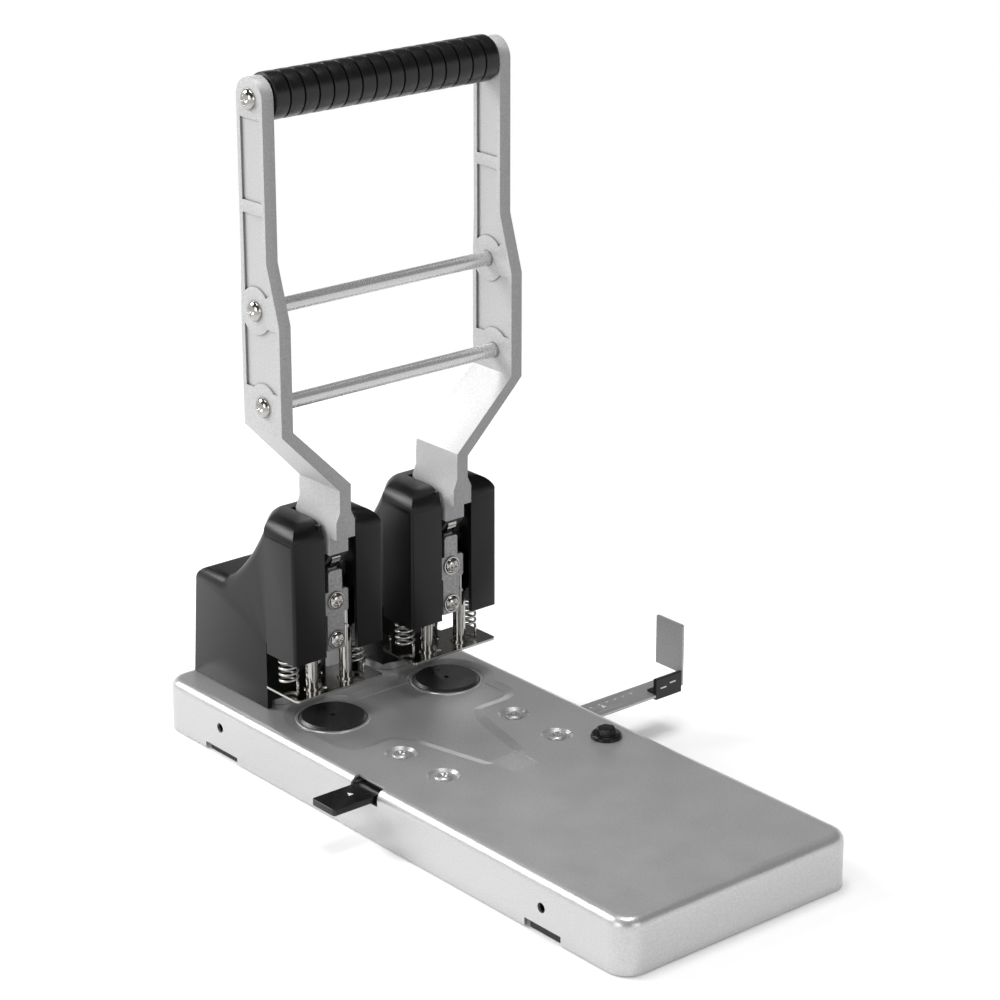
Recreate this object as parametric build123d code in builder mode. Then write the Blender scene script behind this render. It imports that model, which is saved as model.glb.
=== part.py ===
from build123d import *
import os
from math import cos, pi, radians, sin, sqrt, tan

os.makedirs("parts", exist_ok=True)

# Two-head paper drill. Millimetres, +Z up. The origin lies on the table, midway between the two
# punch axes. -Y is the user's side, where the lever comes down.

# ---------------------------------------------------------------- fits
seat = 0.2              # gap between pieces that rest on each other
slack = 0.4             # gap beside a piece that moves
pin_fit = 0.08          # radial clearance of a running fit
thread_fit = 0.1        # radial clearance drawn round a threaded shank

# ---------------------------------------------------------------- base
punch_pitch = 80.0
base_width = 155.7
base_front = 293.4      # ahead of the punch axes
base_rear = 93.0        # behind the punch axes
base_height = 30.6
base_corner = 12.0
base_edge = 5.5
sheet = 1.5
skirt_gap = 0.9         # between the skirt and the table
recess_depth = 1.4
feed_depth = 1.1        # of the channel ahead of the recess
recess_slope = 5.5      # width of the sloping wall round the recess
recess_half_width = 56.0
recess_front = -51.5
recess_middle = -1.0    # y of its rear edge between the heads
recess_round = 21.6     # radius of its outline round each disc
recess_front_corner = 8.0
recess_waist = 8.0      # radius where the rounds meet its straight edges
feed_half_width = 20.0  # channel that leads into the recess, at its wide end
feed_half_end = 9.5
feed_half_tip = 8.7     # at the top of its ramp
feed_end = -110.0
feed_ramp = 20.0
recess_corner = 7.0
bottom_plate_z = 5.0
bottom_plate_thick = 1.2
bottom_screw_radius = 1.5
bottom_screw_head = 3.0
bottom_screw_length = 10.0
foot_length_x = 17.0
centre_foot_radius = 11.0       # takes the load under the punches
foot_rows = ((37.8, 29.6, 4.5), (-233.5, 27.0, 5.4))   # centre y, notch length, notch height
side_hole_radius = 2.75
side_holes = ((38.5, 17.3), (-232.5, 15.5))            # y, z
bed_thick = 10.0
bed_side_gap = 7.85     # from the bed plate to the outside of the skirt
bed_front = -50.0
bed_rear = 85.0

# ---------------------------------------------------------------- cutting discs
disc_radius = 18.7
disc_shift = 2.4        # of each disc to the right of its punch axis
disc_y = -11.8
disc_thick = 6.9
disc_proud = 0.5        # above the base's top
disc_bore = 1.5
disc_chamfer = 1.4
cut_mark_radius = 0.9
cut_mark_depth = 0.6
well_lip = 1.6          # width of the raised lip round each disc
well_lip_height = 0.5

# ---------------------------------------------------------------- paper guide
ruler_y = -91.2
ruler_width = 16.7
ruler_thick = 1.4
ruler_drop = 4.0        # from the base's top to the ruler's
ruler_left = -97.5
ruler_right = 141.2
cap_left = -104.5
cap_length = 34.0
cap_width = 19.0
cap_over = 0.7          # of the cap above the ruler
cap_thick = 3.6
stop_block_left = 122.0
stop_block_rise = 9.4   # above the ruler's top
stop_wall = 2.4
stop_plate_thick = 1.2
stop_plate_width = 21.5
stop_plate_low = 7.9    # of the stop plate's lower edge, above the ruler's top
stop_plate_high = 37.0
window_reach = 6.05     # of the window into the top, from the outside of the skirt
window_width = 22.6
window_depth = 9.1
channel_wall = 1.2
channel_flange = 24.0
guide_start = -8.0      # x where the channel narrows to the ruler itself
rosette_x = 39.5
rosette_rows = (-74.0, -109.7)
rosette_radius = 8.8
rosette_floor_radius = 7.2
screw_head_radius = 5.0
screw_head_height = 1.7
screw_length = 5.5
cross_width = 1.1       # of the cross recess in a screw head
screw_shank_radius = 2.5

# ---------------------------------------------------------------- lock knob
knob_x = 58.0
knob_y = -129.0
knob_flange_radius = 8.5
knob_grip_radius = 5.6
knob_height = 5.6       # above the base's top
knob_shank_radius = 3.9
knob_arm_thick = 3.0
knob_arm_half = 3.5

# ---------------------------------------------------------------- heads
head_half = 30.0        # wide front block of the cover
housing_half = 20.0     # narrow rear housing of the cover
head_front = -22.7
head_top = 149.0
head_bottom = 71.5
throat_y = 17.6
housing_rear = 87.5
housing_rear_top = 82.5
housing_top = 96.0
shoulder_y = 3.0        # where the wide block starts to narrow, at 45 degrees
sweep_foot_y = 57.0
sweep_mid = (36.3, 114.6)
sweep_head = (19.5, 139.0)
crown_y = 12.0
cover_wall = 2.5
cover_round = 11.0      # along the top of the front block
cover_corner = 2.0      # down its front corners
housing_round = 7.0     # along the ridge of the housing
shelf_round = 8.0       # where the housing turns down at the rear
slot_left = 9.0         # edges of the slot, from the punch axis
slot_right = 12.0
slot_back = 7.0
lip_bottom = 107.0
lip_depth = 7.0
lip_thick = 2.2
foot_plate_thick = 4.0
foot_plate_inner = 21.5         # from the punch axis, on the side towards the other head
foot_plate_front = 16.1
foot_plate_corner = 13.0
foot_plate_step = 31.5
cheek_thick = 4.0
cheek_gap_half = 12.3

# ---------------------------------------------------------------- lever and its drive
axle_y = 0.7
axle_z = 116.7
axle_radius = 5.0
hub_half = 6.2
hub_radius = 10.4
roller_radius = 7.0
roller_arm = 18.0       # from the axle to the roller
roller_angle = 35.0     # above the horizontal, at rest
roller_width = 5.6
roller_pin_radius = 2.5
lug_radius = 5.6
arm_outer_x = 81.0
arm_thick = 7.3
arm_top_z = 390.5
arm_back_y = 0.5
arm_front_y = -21.5
arm_low_front_y = -31.2
arm_low_back_y = 1.5
bend_top = 206.0
strap_top = 168.5
strap_bottom = 155.2
block_top = 149.7
grip_drop = 11.1        # of the grip's axis below the lever's top
grip_y = -10.5
grip_radius = 12.5
grip_bar_radius = 6.0
grip_ribs = 16
grip_rib_depth = 1.0
rod_radius = 4.0
upper_rod = (-10.9, 269.2)
lower_rod = (-16.0, 218.4)
boss_round = 12.5
pocket_depth = 1.2
pocket_margin = 2.8
pocket_web = (320.0, 326.5)     # z of the bar between the upper pockets
arm_screw_radius = 5.5
arm_screw_head = 3.2
arm_screw_shank = 2.5
arm_screw_length = 18.0

# ---------------------------------------------------------------- slide, punch and pressure plate
slide_bottom = 74.0
slide_top = 98.0
slide_front = -17.0
slide_back = 9.0
slide_half = 11.8
cheek_front = -5.5
bar_thick = 8.0
bar_half = 27.0
front_plate_thick = 2.4
front_plate_neck = 4.5  # half widths of the front plate: above, at its ears and below
front_plate_ear = 8.5
front_plate_stem = 5.6
front_plate_top = 118.8
front_plate_ears = (94.0, 107.0)
slide_screw_rows = (79.0, 101.5)
slide_screw_radius = 5.4
slide_screw_height = 3.0
slide_screw_shank = 1.8
slide_screw_length = 6.0
slide_washer_thick = 0.8
punch_radius = 4.75
punch_tip_radius = 3.1
punch_bore = 2.5
punch_tip_z = 52.1
pressure_half = 29.5
pressure_front = -23.0
pressure_rear = 4.7
pressure_thick = 1.2
pressure_corner = 2.5
pressure_top = 51.5
ear_width = 6.0
ear_height = 10.5
plate_pin_radius = 3.5
plate_pin_x = 11.5
plate_pin_y = -12.2
plate_pin_top = 100.0
spring_x = 22.3
spring_y = -6.0
spring_wire = 1.5
spring_radius = 4.8     # to the middle of the wire
spring_turns = 4

# ---------------------------------------------------------------- return springs
tail_y = 19.5           # pin on the lever's tail
tail_z = 112.0
tail_radius = 4.4
spring_anchor = (32.0, 50.0)    # y, z of the pin in the frame
spring_pin_radius = 2.5
spring_hook_wire = 1.4
return_spring_radius = 4.5

# ---------------------------------------------------------------- places that follow
head_x = punch_pitch / 2
base_mid_y = (base_rear - base_front) / 2
base_length = base_front + base_rear
ceiling = base_height - sheet                       # underside of the sheet
recess_floor = base_height - recess_depth
pan_bottom = recess_floor - sheet                   # underside of the pressed pans
bed_front_top = pan_bottom - seat
bed_bottom = bed_front_top - bed_thick
disc_top = base_height + disc_proud
disc_bottom = disc_top - disc_thick
well_radius = disc_radius + slack
disc_spots = [(x + disc_shift, disc_y) for x in (-punch_pitch / 2, punch_pitch / 2)]
bottom_plate_top = bottom_plate_z + bottom_plate_thick
bed_half_width = base_width / 2 - bed_side_gap
post_x = base_width / 2 - 16
post_spots = [(x, y) for x in (-post_x, post_x) for y in (-base_front + 23, -base_front + 128)]
boss_x = bed_half_width - 10
bed_boss_spots = [(x, y) for x in (-boss_x, boss_x) for y in (bed_front + 10, bed_rear - 13)]
bed_step = disc_y + recess_round + 2 * sheet + 2      # the bed plate is higher behind the recess
ruler_top = base_height - ruler_drop
cap_top = ruler_top + cap_over
cap_bottom = cap_top - cap_thick
stop_block_top = ruler_top + stop_block_rise
stop_plate_bottom = ruler_top + stop_plate_low
stop_plate_top = ruler_top + stop_plate_high
window_inner_x = -base_width / 2 + window_reach
window_bottom = base_height - window_depth
channel_inner = cap_width / 2 + slack
channel_floor = cap_bottom - slack
rosette_spots = [(x, y) for x in (-rosette_x, rosette_x) for y in rosette_rows]
screw_tip = recess_floor + seat - screw_length
knob_top = base_height + knob_height
knob_arm_top = screw_tip - 0.5                      # the arm swings under the channel's screws
knob_arm_reach = ruler_y - channel_inner - channel_wall - knob_y - slack
foot_top = base_height + seat + foot_plate_thick
foot_plate_outer = housing_half - cover_wall - slack
bolt_rows = (44.0, 76.0)
bolt_offset = 7.2
bolt_radius = 3.0
bolt_spots = [(s * head_x + t * bolt_offset, y) for s in (-1, 1) for t in (-1, 1) for y in bolt_rows]
roller_y = axle_y - roller_arm * cos(radians(roller_angle))
roller_z = axle_z + roller_arm * sin(radians(roller_angle))
anvil_z = roller_z - roller_radius - slack          # top of the slide block's stem
arm_inner_x = arm_outer_x - arm_thick
grip_z = arm_top_z - grip_drop
rod_half = arm_inner_x - seat


def write(piece, name):
    piece.part.label = name
    export_step(piece.part, f"parts/{name}.step")


# ================================================================ base cover
def base_block(inset, bottom):
    """Rounded block of the base, drawn in by inset on the sides and on top."""
    with BuildPart() as block:
        with BuildSketch(Plane.XY.offset(bottom)):
            with Locations((0, base_mid_y)):
                RectangleRounded(base_width - 2 * inset, base_length - 2 * inset, base_corner - inset)
        extrude(amount=base_height - inset - bottom)
        fillet(block.faces().sort_by(Axis.Z)[-1].edges(), base_edge - inset)
    return block.part


def recess_sketch(grow, height, feed=True):
    """Outline of the recess round the discs, with the feed channel that leads into it."""
    with BuildSketch(Plane.XY.offset(height)) as outline:
        with BuildLine():
            right = [(recess_half_width, recess_middle), (recess_half_width, recess_front)]
            if feed:
                right += [
                    (feed_half_width + recess_corner + 2, recess_front),
                    (feed_half_width, recess_front - 2 * recess_corner),
                    (feed_half_end, feed_end),
                ]
            left = [(-x, y) for x, y in reversed(right)]
            Polyline(*right, *left, close=True)
        make_face()
        with Locations(*disc_spots):
            Circle(recess_round)
        for low, high, reach, radius in (
            (recess_middle - 0.1, recess_middle + 0.1, recess_half_width, recess_waist),
            (recess_front + 1, disc_y - 1, recess_half_width + 0.1, recess_waist),
            (recess_front - 0.1, recess_front + 0.1, recess_half_width + 0.1, recess_front_corner),
            (feed_end + 1, recess_front + 1, recess_half_width - recess_front_corner - 1, recess_corner),
        ):
            corners = [v for v in outline.vertices() if low < v.Y < high and abs(v.X) < reach]
            if radius == recess_front_corner:
                corners = [v for v in corners if abs(v.X) > recess_half_width - 0.1]
            if corners:
                fillet(corners, radius)
        if grow > 0:
            offset(amount=grow)
    return outline.sketch


base_outer = base_block(0, skirt_gap)
base_inner = base_block(sheet, skirt_gap - 1)
recess_under = recess_sketch(2 * sheet, pan_bottom)
with BuildPart() as recess_form:
    add(recess_sketch(0, base_height - feed_depth))
    add(recess_sketch(recess_slope, base_height))
    loft(ruled=True)
with BuildPart() as recess_step:
    # the part round the discs lies a little deeper than the channel ahead of it
    extrude(recess_sketch(0, recess_floor, feed=False), amount=recess_depth, dir=(0, 0, 1))
with BuildPart() as feed_ramp_form:
    with BuildSketch(Plane.YZ):
        with BuildLine():
            Polyline(
                (feed_end + 0.5, base_height - feed_depth),
                (feed_end + 0.5, base_height + 1),
                (feed_end - feed_ramp, base_height + 1),
                (feed_end - feed_ramp, base_height),
                (feed_end, base_height - feed_depth),
                close=True,
            )
        make_face()
    extrude(amount=feed_half_width, both=True)
    with BuildSketch(Plane.XY.offset(recess_floor - 1)):
        with BuildLine():
            Polyline(
                (feed_half_end + 0.5, feed_end + 1),
                (feed_half_tip, feed_end - feed_ramp - 1),
                (-feed_half_tip, feed_end - feed_ramp - 1),
                (-feed_half_end - 0.5, feed_end + 1),
                close=True,
            )
        make_face()
    extrude(amount=recess_depth + 3, mode=Mode.INTERSECT)

with BuildPart() as base_cover:
    add(base_outer)
    add(base_inner, mode=Mode.SUBTRACT)
    # pressed pans under the recess, the feed ramp and the four screws
    extrude(recess_under, amount=sheet, dir=(0, 0, 1))
    with BuildSketch(Plane.XY.offset(pan_bottom)):
        with Locations((0, feed_end - feed_ramp / 2)):
            Rectangle(2 * (feed_half_end + sheet), feed_ramp + 2 * sheet)
        with Locations(*rosette_spots):
            Circle(rosette_radius + sheet)
    extrude(amount=sheet)
    add(recess_form.part, mode=Mode.SUBTRACT)
    add(recess_step.part, mode=Mode.SUBTRACT)
    add(feed_ramp_form.part, mode=Mode.SUBTRACT)
    with Locations(*[(x, y, base_height - recess_depth / 2) for x, y in rosette_spots]):
        Cone(rosette_floor_radius, rosette_radius, recess_depth, mode=Mode.SUBTRACT)
    with Locations(*[(x, y, base_height) for x, y in rosette_spots]):
        Hole(screw_shank_radius + thread_fit, depth=base_height - pan_bottom + 1)
    # lip round each well
    with BuildSketch(Plane.XY.offset(recess_floor - 0.2)):
        with Locations(*disc_spots):
            Circle(well_radius + well_lip)
    extrude(amount=well_lip_height + 0.2, taper=30)
    # wells for the cutting discs, holes for the frame bolts and for the knob
    with BuildSketch(Plane.XY.offset(base_height + 1)):
        with Locations(*disc_spots):
            Circle(well_radius)
        with Locations(*bolt_spots):
            Circle(bolt_radius + thread_fit)
        with Locations((knob_x, knob_y)):
            Circle(knob_shank_radius + pin_fit)
    extrude(amount=-recess_depth - sheet - 3, mode=Mode.SUBTRACT)
    # window on the left and slot on the right for the ruler
    with BuildSketch(Plane.XZ.offset(-ruler_y)):
        with Locations(((window_inner_x - base_width / 2) / 2 - 1, (window_bottom + base_height) / 2 + 1)):
            Rectangle(base_width / 2 + window_inner_x + 2, base_height - window_bottom + 2)
    extrude(amount=window_width / 2, both=True, mode=Mode.SUBTRACT)
    with BuildSketch(Plane.YZ.offset(base_width / 2 - sheet - 3)):
        with Locations((ruler_y, ruler_top - ruler_thick / 2)):
            Rectangle(ruler_width + 2 * slack, ruler_thick + 2 * slack)
    extrude(amount=sheet + 4, mode=Mode.SUBTRACT)
    # holes and foot notches in both side skirts
    with BuildSketch(Plane.YZ):
        with Locations(*side_holes):
            Circle(side_hole_radius)
        for foot_y, notch_length, notch_height in foot_rows:
            with Locations((foot_y, notch_height / 2)):
                Rectangle(notch_length, notch_height)
    extrude(amount=base_width, both=True, mode=Mode.SUBTRACT)
    # welded posts that the bottom plate is screwed to
    with BuildSketch(Plane.XY.offset(bottom_plate_top + seat)):
        with Locations(*post_spots):
            Circle(4.5)
            Circle(bottom_screw_radius + thread_fit, mode=Mode.SUBTRACT)
    extrude(amount=ceiling - bottom_plate_top - seat + 0.2)
write(base_cover, "base_cover")

# ================================================================ bottom plate, feet and screws
with BuildPart() as bottom_plate:
    with BuildSketch(Plane.XY.offset(bottom_plate_z)):
        with Locations((0, base_mid_y)):
            inset = 2 * (sheet + slack)
            RectangleRounded(base_width - inset, base_length - inset, base_corner - sheet - slack)
        with Locations(*post_spots, *bed_boss_spots):
            Circle(bottom_screw_radius + thread_fit, mode=Mode.SUBTRACT)
    extrude(amount=bottom_plate_thick)
write(bottom_plate, "bottom_plate")

with BuildPart() as rubber_feet:
    foot_x = base_width / 2 - sheet - slack - foot_length_x / 2
    for foot_y, notch_length, notch_height in foot_rows:
        with BuildSketch():
            with Locations((-foot_x, foot_y), (foot_x, foot_y)):
                RectangleRounded(foot_length_x, notch_length - 2, 2)
        extrude(amount=bottom_plate_z - seat)
    with BuildSketch():
        Circle(centre_foot_radius)
    extrude(amount=bottom_plate_z - seat)
    chamfer(rubber_feet.faces().group_by(Axis.Z)[0].edges(), 0.6)
write(rubber_feet, "rubber_feet")

with BuildPart() as bottom_screws:
    with BuildSketch(Plane.XY.offset(bottom_plate_z - seat)):
        with Locations(*post_spots, *bed_boss_spots):
            Circle(bottom_screw_head)
    extrude(amount=-0.6 * bottom_screw_head)
    fillet(bottom_screws.faces().group_by(Axis.Z)[0].edges(), 0.7)
    with BuildSketch(Plane.XY.offset(bottom_plate_z - seat)):
        with Locations(*post_spots, *bed_boss_spots):
            Circle(bottom_screw_radius)
    extrude(amount=bottom_screw_length)
write(bottom_screws, "bottom_screws")

# ================================================================ bed plate under the sheet
with BuildPart() as bed_plate:
    with BuildSketch(Plane.XY.offset(bed_bottom)):
        with Locations((0, (bed_front + bed_rear) / 2)):
            RectangleRounded(2 * bed_half_width, bed_rear - bed_front, 4)
    extrude(amount=bed_thick)
    with BuildSketch(Plane.XY.offset(bed_front_top)):
        with Locations((0, (bed_step + bed_rear) / 2)):
            Rectangle(2 * bed_half_width, bed_rear - bed_step)
    extrude(amount=ceiling - seat - bed_front_top)
    with BuildSketch(Plane.XY.offset(disc_bottom - seat - 0.1)):
        with Locations(*disc_spots):
            Circle(well_radius)
            Circle(disc_bore - pin_fit, mode=Mode.SUBTRACT)
    extrude(amount=bed_thick, mode=Mode.SUBTRACT)
    with BuildSketch(Plane.XY.offset(disc_top - 1.5)):
        with Locations(*disc_spots):
            Circle(disc_bore - pin_fit)
    extrude(amount=bed_front_top - disc_top + 1.5 - 2.0)
    with BuildSketch(Plane.XY.offset(bottom_plate_top + seat)):
        with Locations(*bed_boss_spots):
            Circle(5)
    extrude(amount=bed_bottom - bottom_plate_top - seat + 0.2)
    with BuildSketch(Plane.XY.offset(bottom_plate_top)):
        with Locations(*bed_boss_spots):
            Circle(bottom_screw_radius + thread_fit)
    extrude(amount=bottom_screw_length + 2, mode=Mode.SUBTRACT)
    with BuildSketch(Plane.XY.offset(bed_bottom - 1)):
        with Locations(*bolt_spots):
            Circle(bolt_radius + thread_fit)
    extrude(amount=bed_thick + 5, mode=Mode.SUBTRACT)
write(bed_plate, "bed_plate")

# ================================================================ cutting discs
for side, (x, y) in zip(("left", "right"), disc_spots):
    with BuildPart() as cutting_disc:
        with BuildSketch(Plane.XY.offset(disc_bottom)):
            with Locations((x, y)):
                Circle(disc_radius)
                Circle(disc_bore, mode=Mode.SUBTRACT)
        extrude(amount=disc_thick)
        rim = cutting_disc.faces().sort_by(Axis.Z)[-1].edges().sort_by(SortBy.RADIUS)[-1]
        chamfer(rim, disc_chamfer)
        # two small marks of earlier cuts
        with BuildSketch(Plane.XY.offset(disc_top)):
            with Locations((x - 2.3, y + 9.6), (x + 2.3, y + 10.2)):
                Circle(cut_mark_radius)
        extrude(amount=-cut_mark_depth, mode=Mode.SUBTRACT)
    write(cutting_disc, f"cutting_disc_{side}")

# ================================================================ ruler channel and its screws
with BuildPart() as ruler_channel:
    channel_half = base_width / 2 - sheet - 1.3
    flange_bottom = pan_bottom - seat - channel_wall
    with BuildSketch(Plane.YZ.offset(-channel_half)):
        with BuildLine():
            outer = channel_inner + channel_wall
            Polyline(
                (ruler_y - channel_flange, flange_bottom + channel_wall),
                (ruler_y - channel_flange, flange_bottom),
                (ruler_y - outer, flange_bottom),
                (ruler_y - outer, channel_floor - channel_wall),
                (ruler_y + outer, channel_floor - channel_wall),
                (ruler_y + outer, flange_bottom),
                (ruler_y + channel_flange, flange_bottom),
                (ruler_y + channel_flange, flange_bottom + channel_wall),
                (ruler_y + channel_inner, flange_bottom + channel_wall),
                (ruler_y + channel_inner, channel_floor),
                (ruler_y - channel_inner, channel_floor),
                (ruler_y - channel_inner, flange_bottom + channel_wall),
                close=True,
            )
        make_face()
    extrude(amount=2 * channel_half)
    with BuildSketch(Plane.YZ.offset(guide_start)):
        with Locations((ruler_y, (channel_floor + flange_bottom) / 2)):
            Rectangle(2 * channel_inner, flange_bottom - channel_floor)
        with Locations((ruler_y, ruler_top)):
            Rectangle(ruler_width + 2 * slack, 2 * (ruler_thick + slack), mode=Mode.SUBTRACT)
    extrude(amount=channel_half - guide_start)
    with BuildSketch(Plane.XY.offset(flange_bottom - 1)):
        with Locations(*rosette_spots):
            Circle(screw_shank_radius + thread_fit)
    extrude(amount=channel_wall + 2, mode=Mode.SUBTRACT)
write(ruler_channel, "ruler_channel")

with BuildPart() as channel_screws:
    for x, y in rosette_spots:
        with BuildSketch(Plane.XY.offset(recess_floor + seat)):
            with Locations((x, y)):
                Circle(screw_head_radius)
    extrude(amount=screw_head_height)
    fillet(channel_screws.faces().group_by(Axis.Z)[-1].edges(), 0.8 * screw_head_height)
    with BuildSketch(Plane.XY.offset(recess_floor + seat + screw_head_height)):
        with Locations(*rosette_spots):
            Rectangle(screw_head_radius, cross_width)
            Rectangle(cross_width, screw_head_radius)
    extrude(amount=-cross_width, mode=Mode.SUBTRACT)
    with BuildSketch(Plane.XY.offset(recess_floor + seat)):
        with Locations(*rosette_spots):
            Circle(screw_shank_radius)
    extrude(amount=-screw_length)
write(channel_screws, "channel_screws")

# ================================================================ ruler, its cap, stop block and stop plate
ruler_front = ruler_y - ruler_width / 2
with BuildPart() as guide_ruler:
    with BuildSketch(Plane.XY.offset(ruler_top - ruler_thick)):
        with Locations(((ruler_left + ruler_right) / 2, ruler_y)):
            Rectangle(ruler_right - ruler_left, ruler_width)
        with Locations(((stop_block_left + ruler_right) / 2, ruler_front)):
            notch = ruler_right - stop_block_left + 2 * seat
            Rectangle(notch, 2 * (stop_wall + seat), mode=Mode.SUBTRACT)
    extrude(amount=ruler_thick)
write(guide_ruler, "guide_ruler")

with BuildPart() as ruler_cap:
    with BuildSketch(Plane.XY.offset(cap_bottom)):
        with Locations((cap_left + cap_length / 2, ruler_y)):
            RectangleRounded(cap_length, cap_width, 1.5)
    extrude(amount=cap_top - cap_bottom)
    fillet(ruler_cap.faces().sort_by(Axis.Z)[-1].edges(), 0.4)
    with BuildSketch(Plane.XY.offset(ruler_top - ruler_thick - thread_fit)):
        with Locations((ruler_left - seat + cap_length / 2, ruler_y)):
            Rectangle(cap_length, ruler_width + 2 * thread_fit)
    extrude(amount=ruler_thick + 2 * thread_fit, mode=Mode.SUBTRACT)
write(ruler_cap, "ruler_cap")

with BuildPart() as ruler_stop_block:
    with BuildSketch(Plane.YZ.offset(stop_block_left)):
        with BuildLine():
            grip_lip = 5.0
            foot_under = ruler_top - ruler_thick - thread_fit
            lip_over = ruler_top + thread_fit
            Polyline(
                (ruler_front, foot_under - 1.4),
                (ruler_front + ruler_width - 0.5, foot_under - 1.4),
                (ruler_front + ruler_width - 0.5, foot_under),
                (ruler_front + stop_wall, foot_under),
                (ruler_front + stop_wall, lip_over),
                (ruler_front + stop_wall + grip_lip, lip_over),
                (ruler_front + stop_wall + grip_lip, lip_over + 1.2),
                (ruler_front + stop_wall, lip_over + 1.2),
                (ruler_front + stop_wall, stop_block_top),
                (ruler_front, stop_block_top),
                close=True,
            )
        make_face()
    extrude(amount=ruler_right - stop_block_left)
    fillet(ruler_stop_block.edges().filter_by(Axis.X).group_by(Axis.Z)[-1], 0.5)
write(ruler_stop_block, "ruler_stop_block")

with BuildPart() as side_stop:
    stop_x = ruler_right + seat
    tab_back = ruler_front + stop_wall + seat
    with BuildSketch(Plane.YZ.offset(stop_x)) as stop_face:
        with BuildLine():
            Polyline(
                (ruler_front, ruler_top + 0.6),
                (tab_back + 2.5, ruler_top + 0.6),
                (tab_back + 2.5, stop_plate_bottom),
                (ruler_front + stop_plate_width, stop_plate_bottom),
                (ruler_front + stop_plate_width, stop_plate_top),
                (ruler_front, stop_plate_top),
                close=True,
            )
        make_face()
        fillet(stop_face.vertices().group_by(Axis.Y)[-1], 1.0)
    extrude(amount=stop_plate_thick)
    with BuildSketch(Plane.XZ.offset(-tab_back - stop_plate_thick)):
        with Locations((stop_x - 5.5, (ruler_top + stop_plate_bottom) / 2 + 0.8)):
            Rectangle(11.4, 4.4)
    extrude(amount=stop_plate_thick)
write(side_stop, "side_stop")

# ================================================================ lock knob
with BuildPart() as lock_knob:
    knob_low = base_height + 0.3
    with BuildSketch(Plane.XY.offset(knob_low)):
        with Locations((knob_x, knob_y)):
            Circle(knob_flange_radius)
    extrude(amount=2.2)
    chamfer(lock_knob.faces().sort_by(Axis.Z)[-1].edges(), 0.8)
    with BuildSketch(Plane.XY.offset(knob_low + 2.2)) as knob_grip:
        with Locations((knob_x, knob_y)):
            RegularPolygon(knob_grip_radius, 6)
        fillet(knob_grip.vertices(), 1.5)
    extrude(amount=knob_top - knob_low - 2.2)
    fillet(lock_knob.faces().sort_by(Axis.Z)[-1].edges(), 0.8)
    with BuildSketch(Plane.XY.offset(knob_low)):
        with Locations((knob_x, knob_y)):
            Circle(knob_shank_radius)
    extrude(amount=knob_arm_top - knob_arm_thick - knob_low)
    with BuildSketch(Plane.XY.offset(ceiling - 0.3)):
        with Locations((knob_x, knob_y)):
            Circle(knob_shank_radius + 2)
    extrude(amount=-1.4)
    # arm that is turned against the side of the ruler's channel, below the screws
    with BuildSketch(Plane.XY.offset(knob_arm_top - knob_arm_thick)):
        with Locations((knob_x - (knob_arm_reach - knob_arm_half) / 2, knob_y)):
            SlotOverall(knob_arm_reach + knob_arm_half, 2 * knob_arm_half)
    extrude(amount=knob_arm_thick)
write(lock_knob, "lock_knob")


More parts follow.
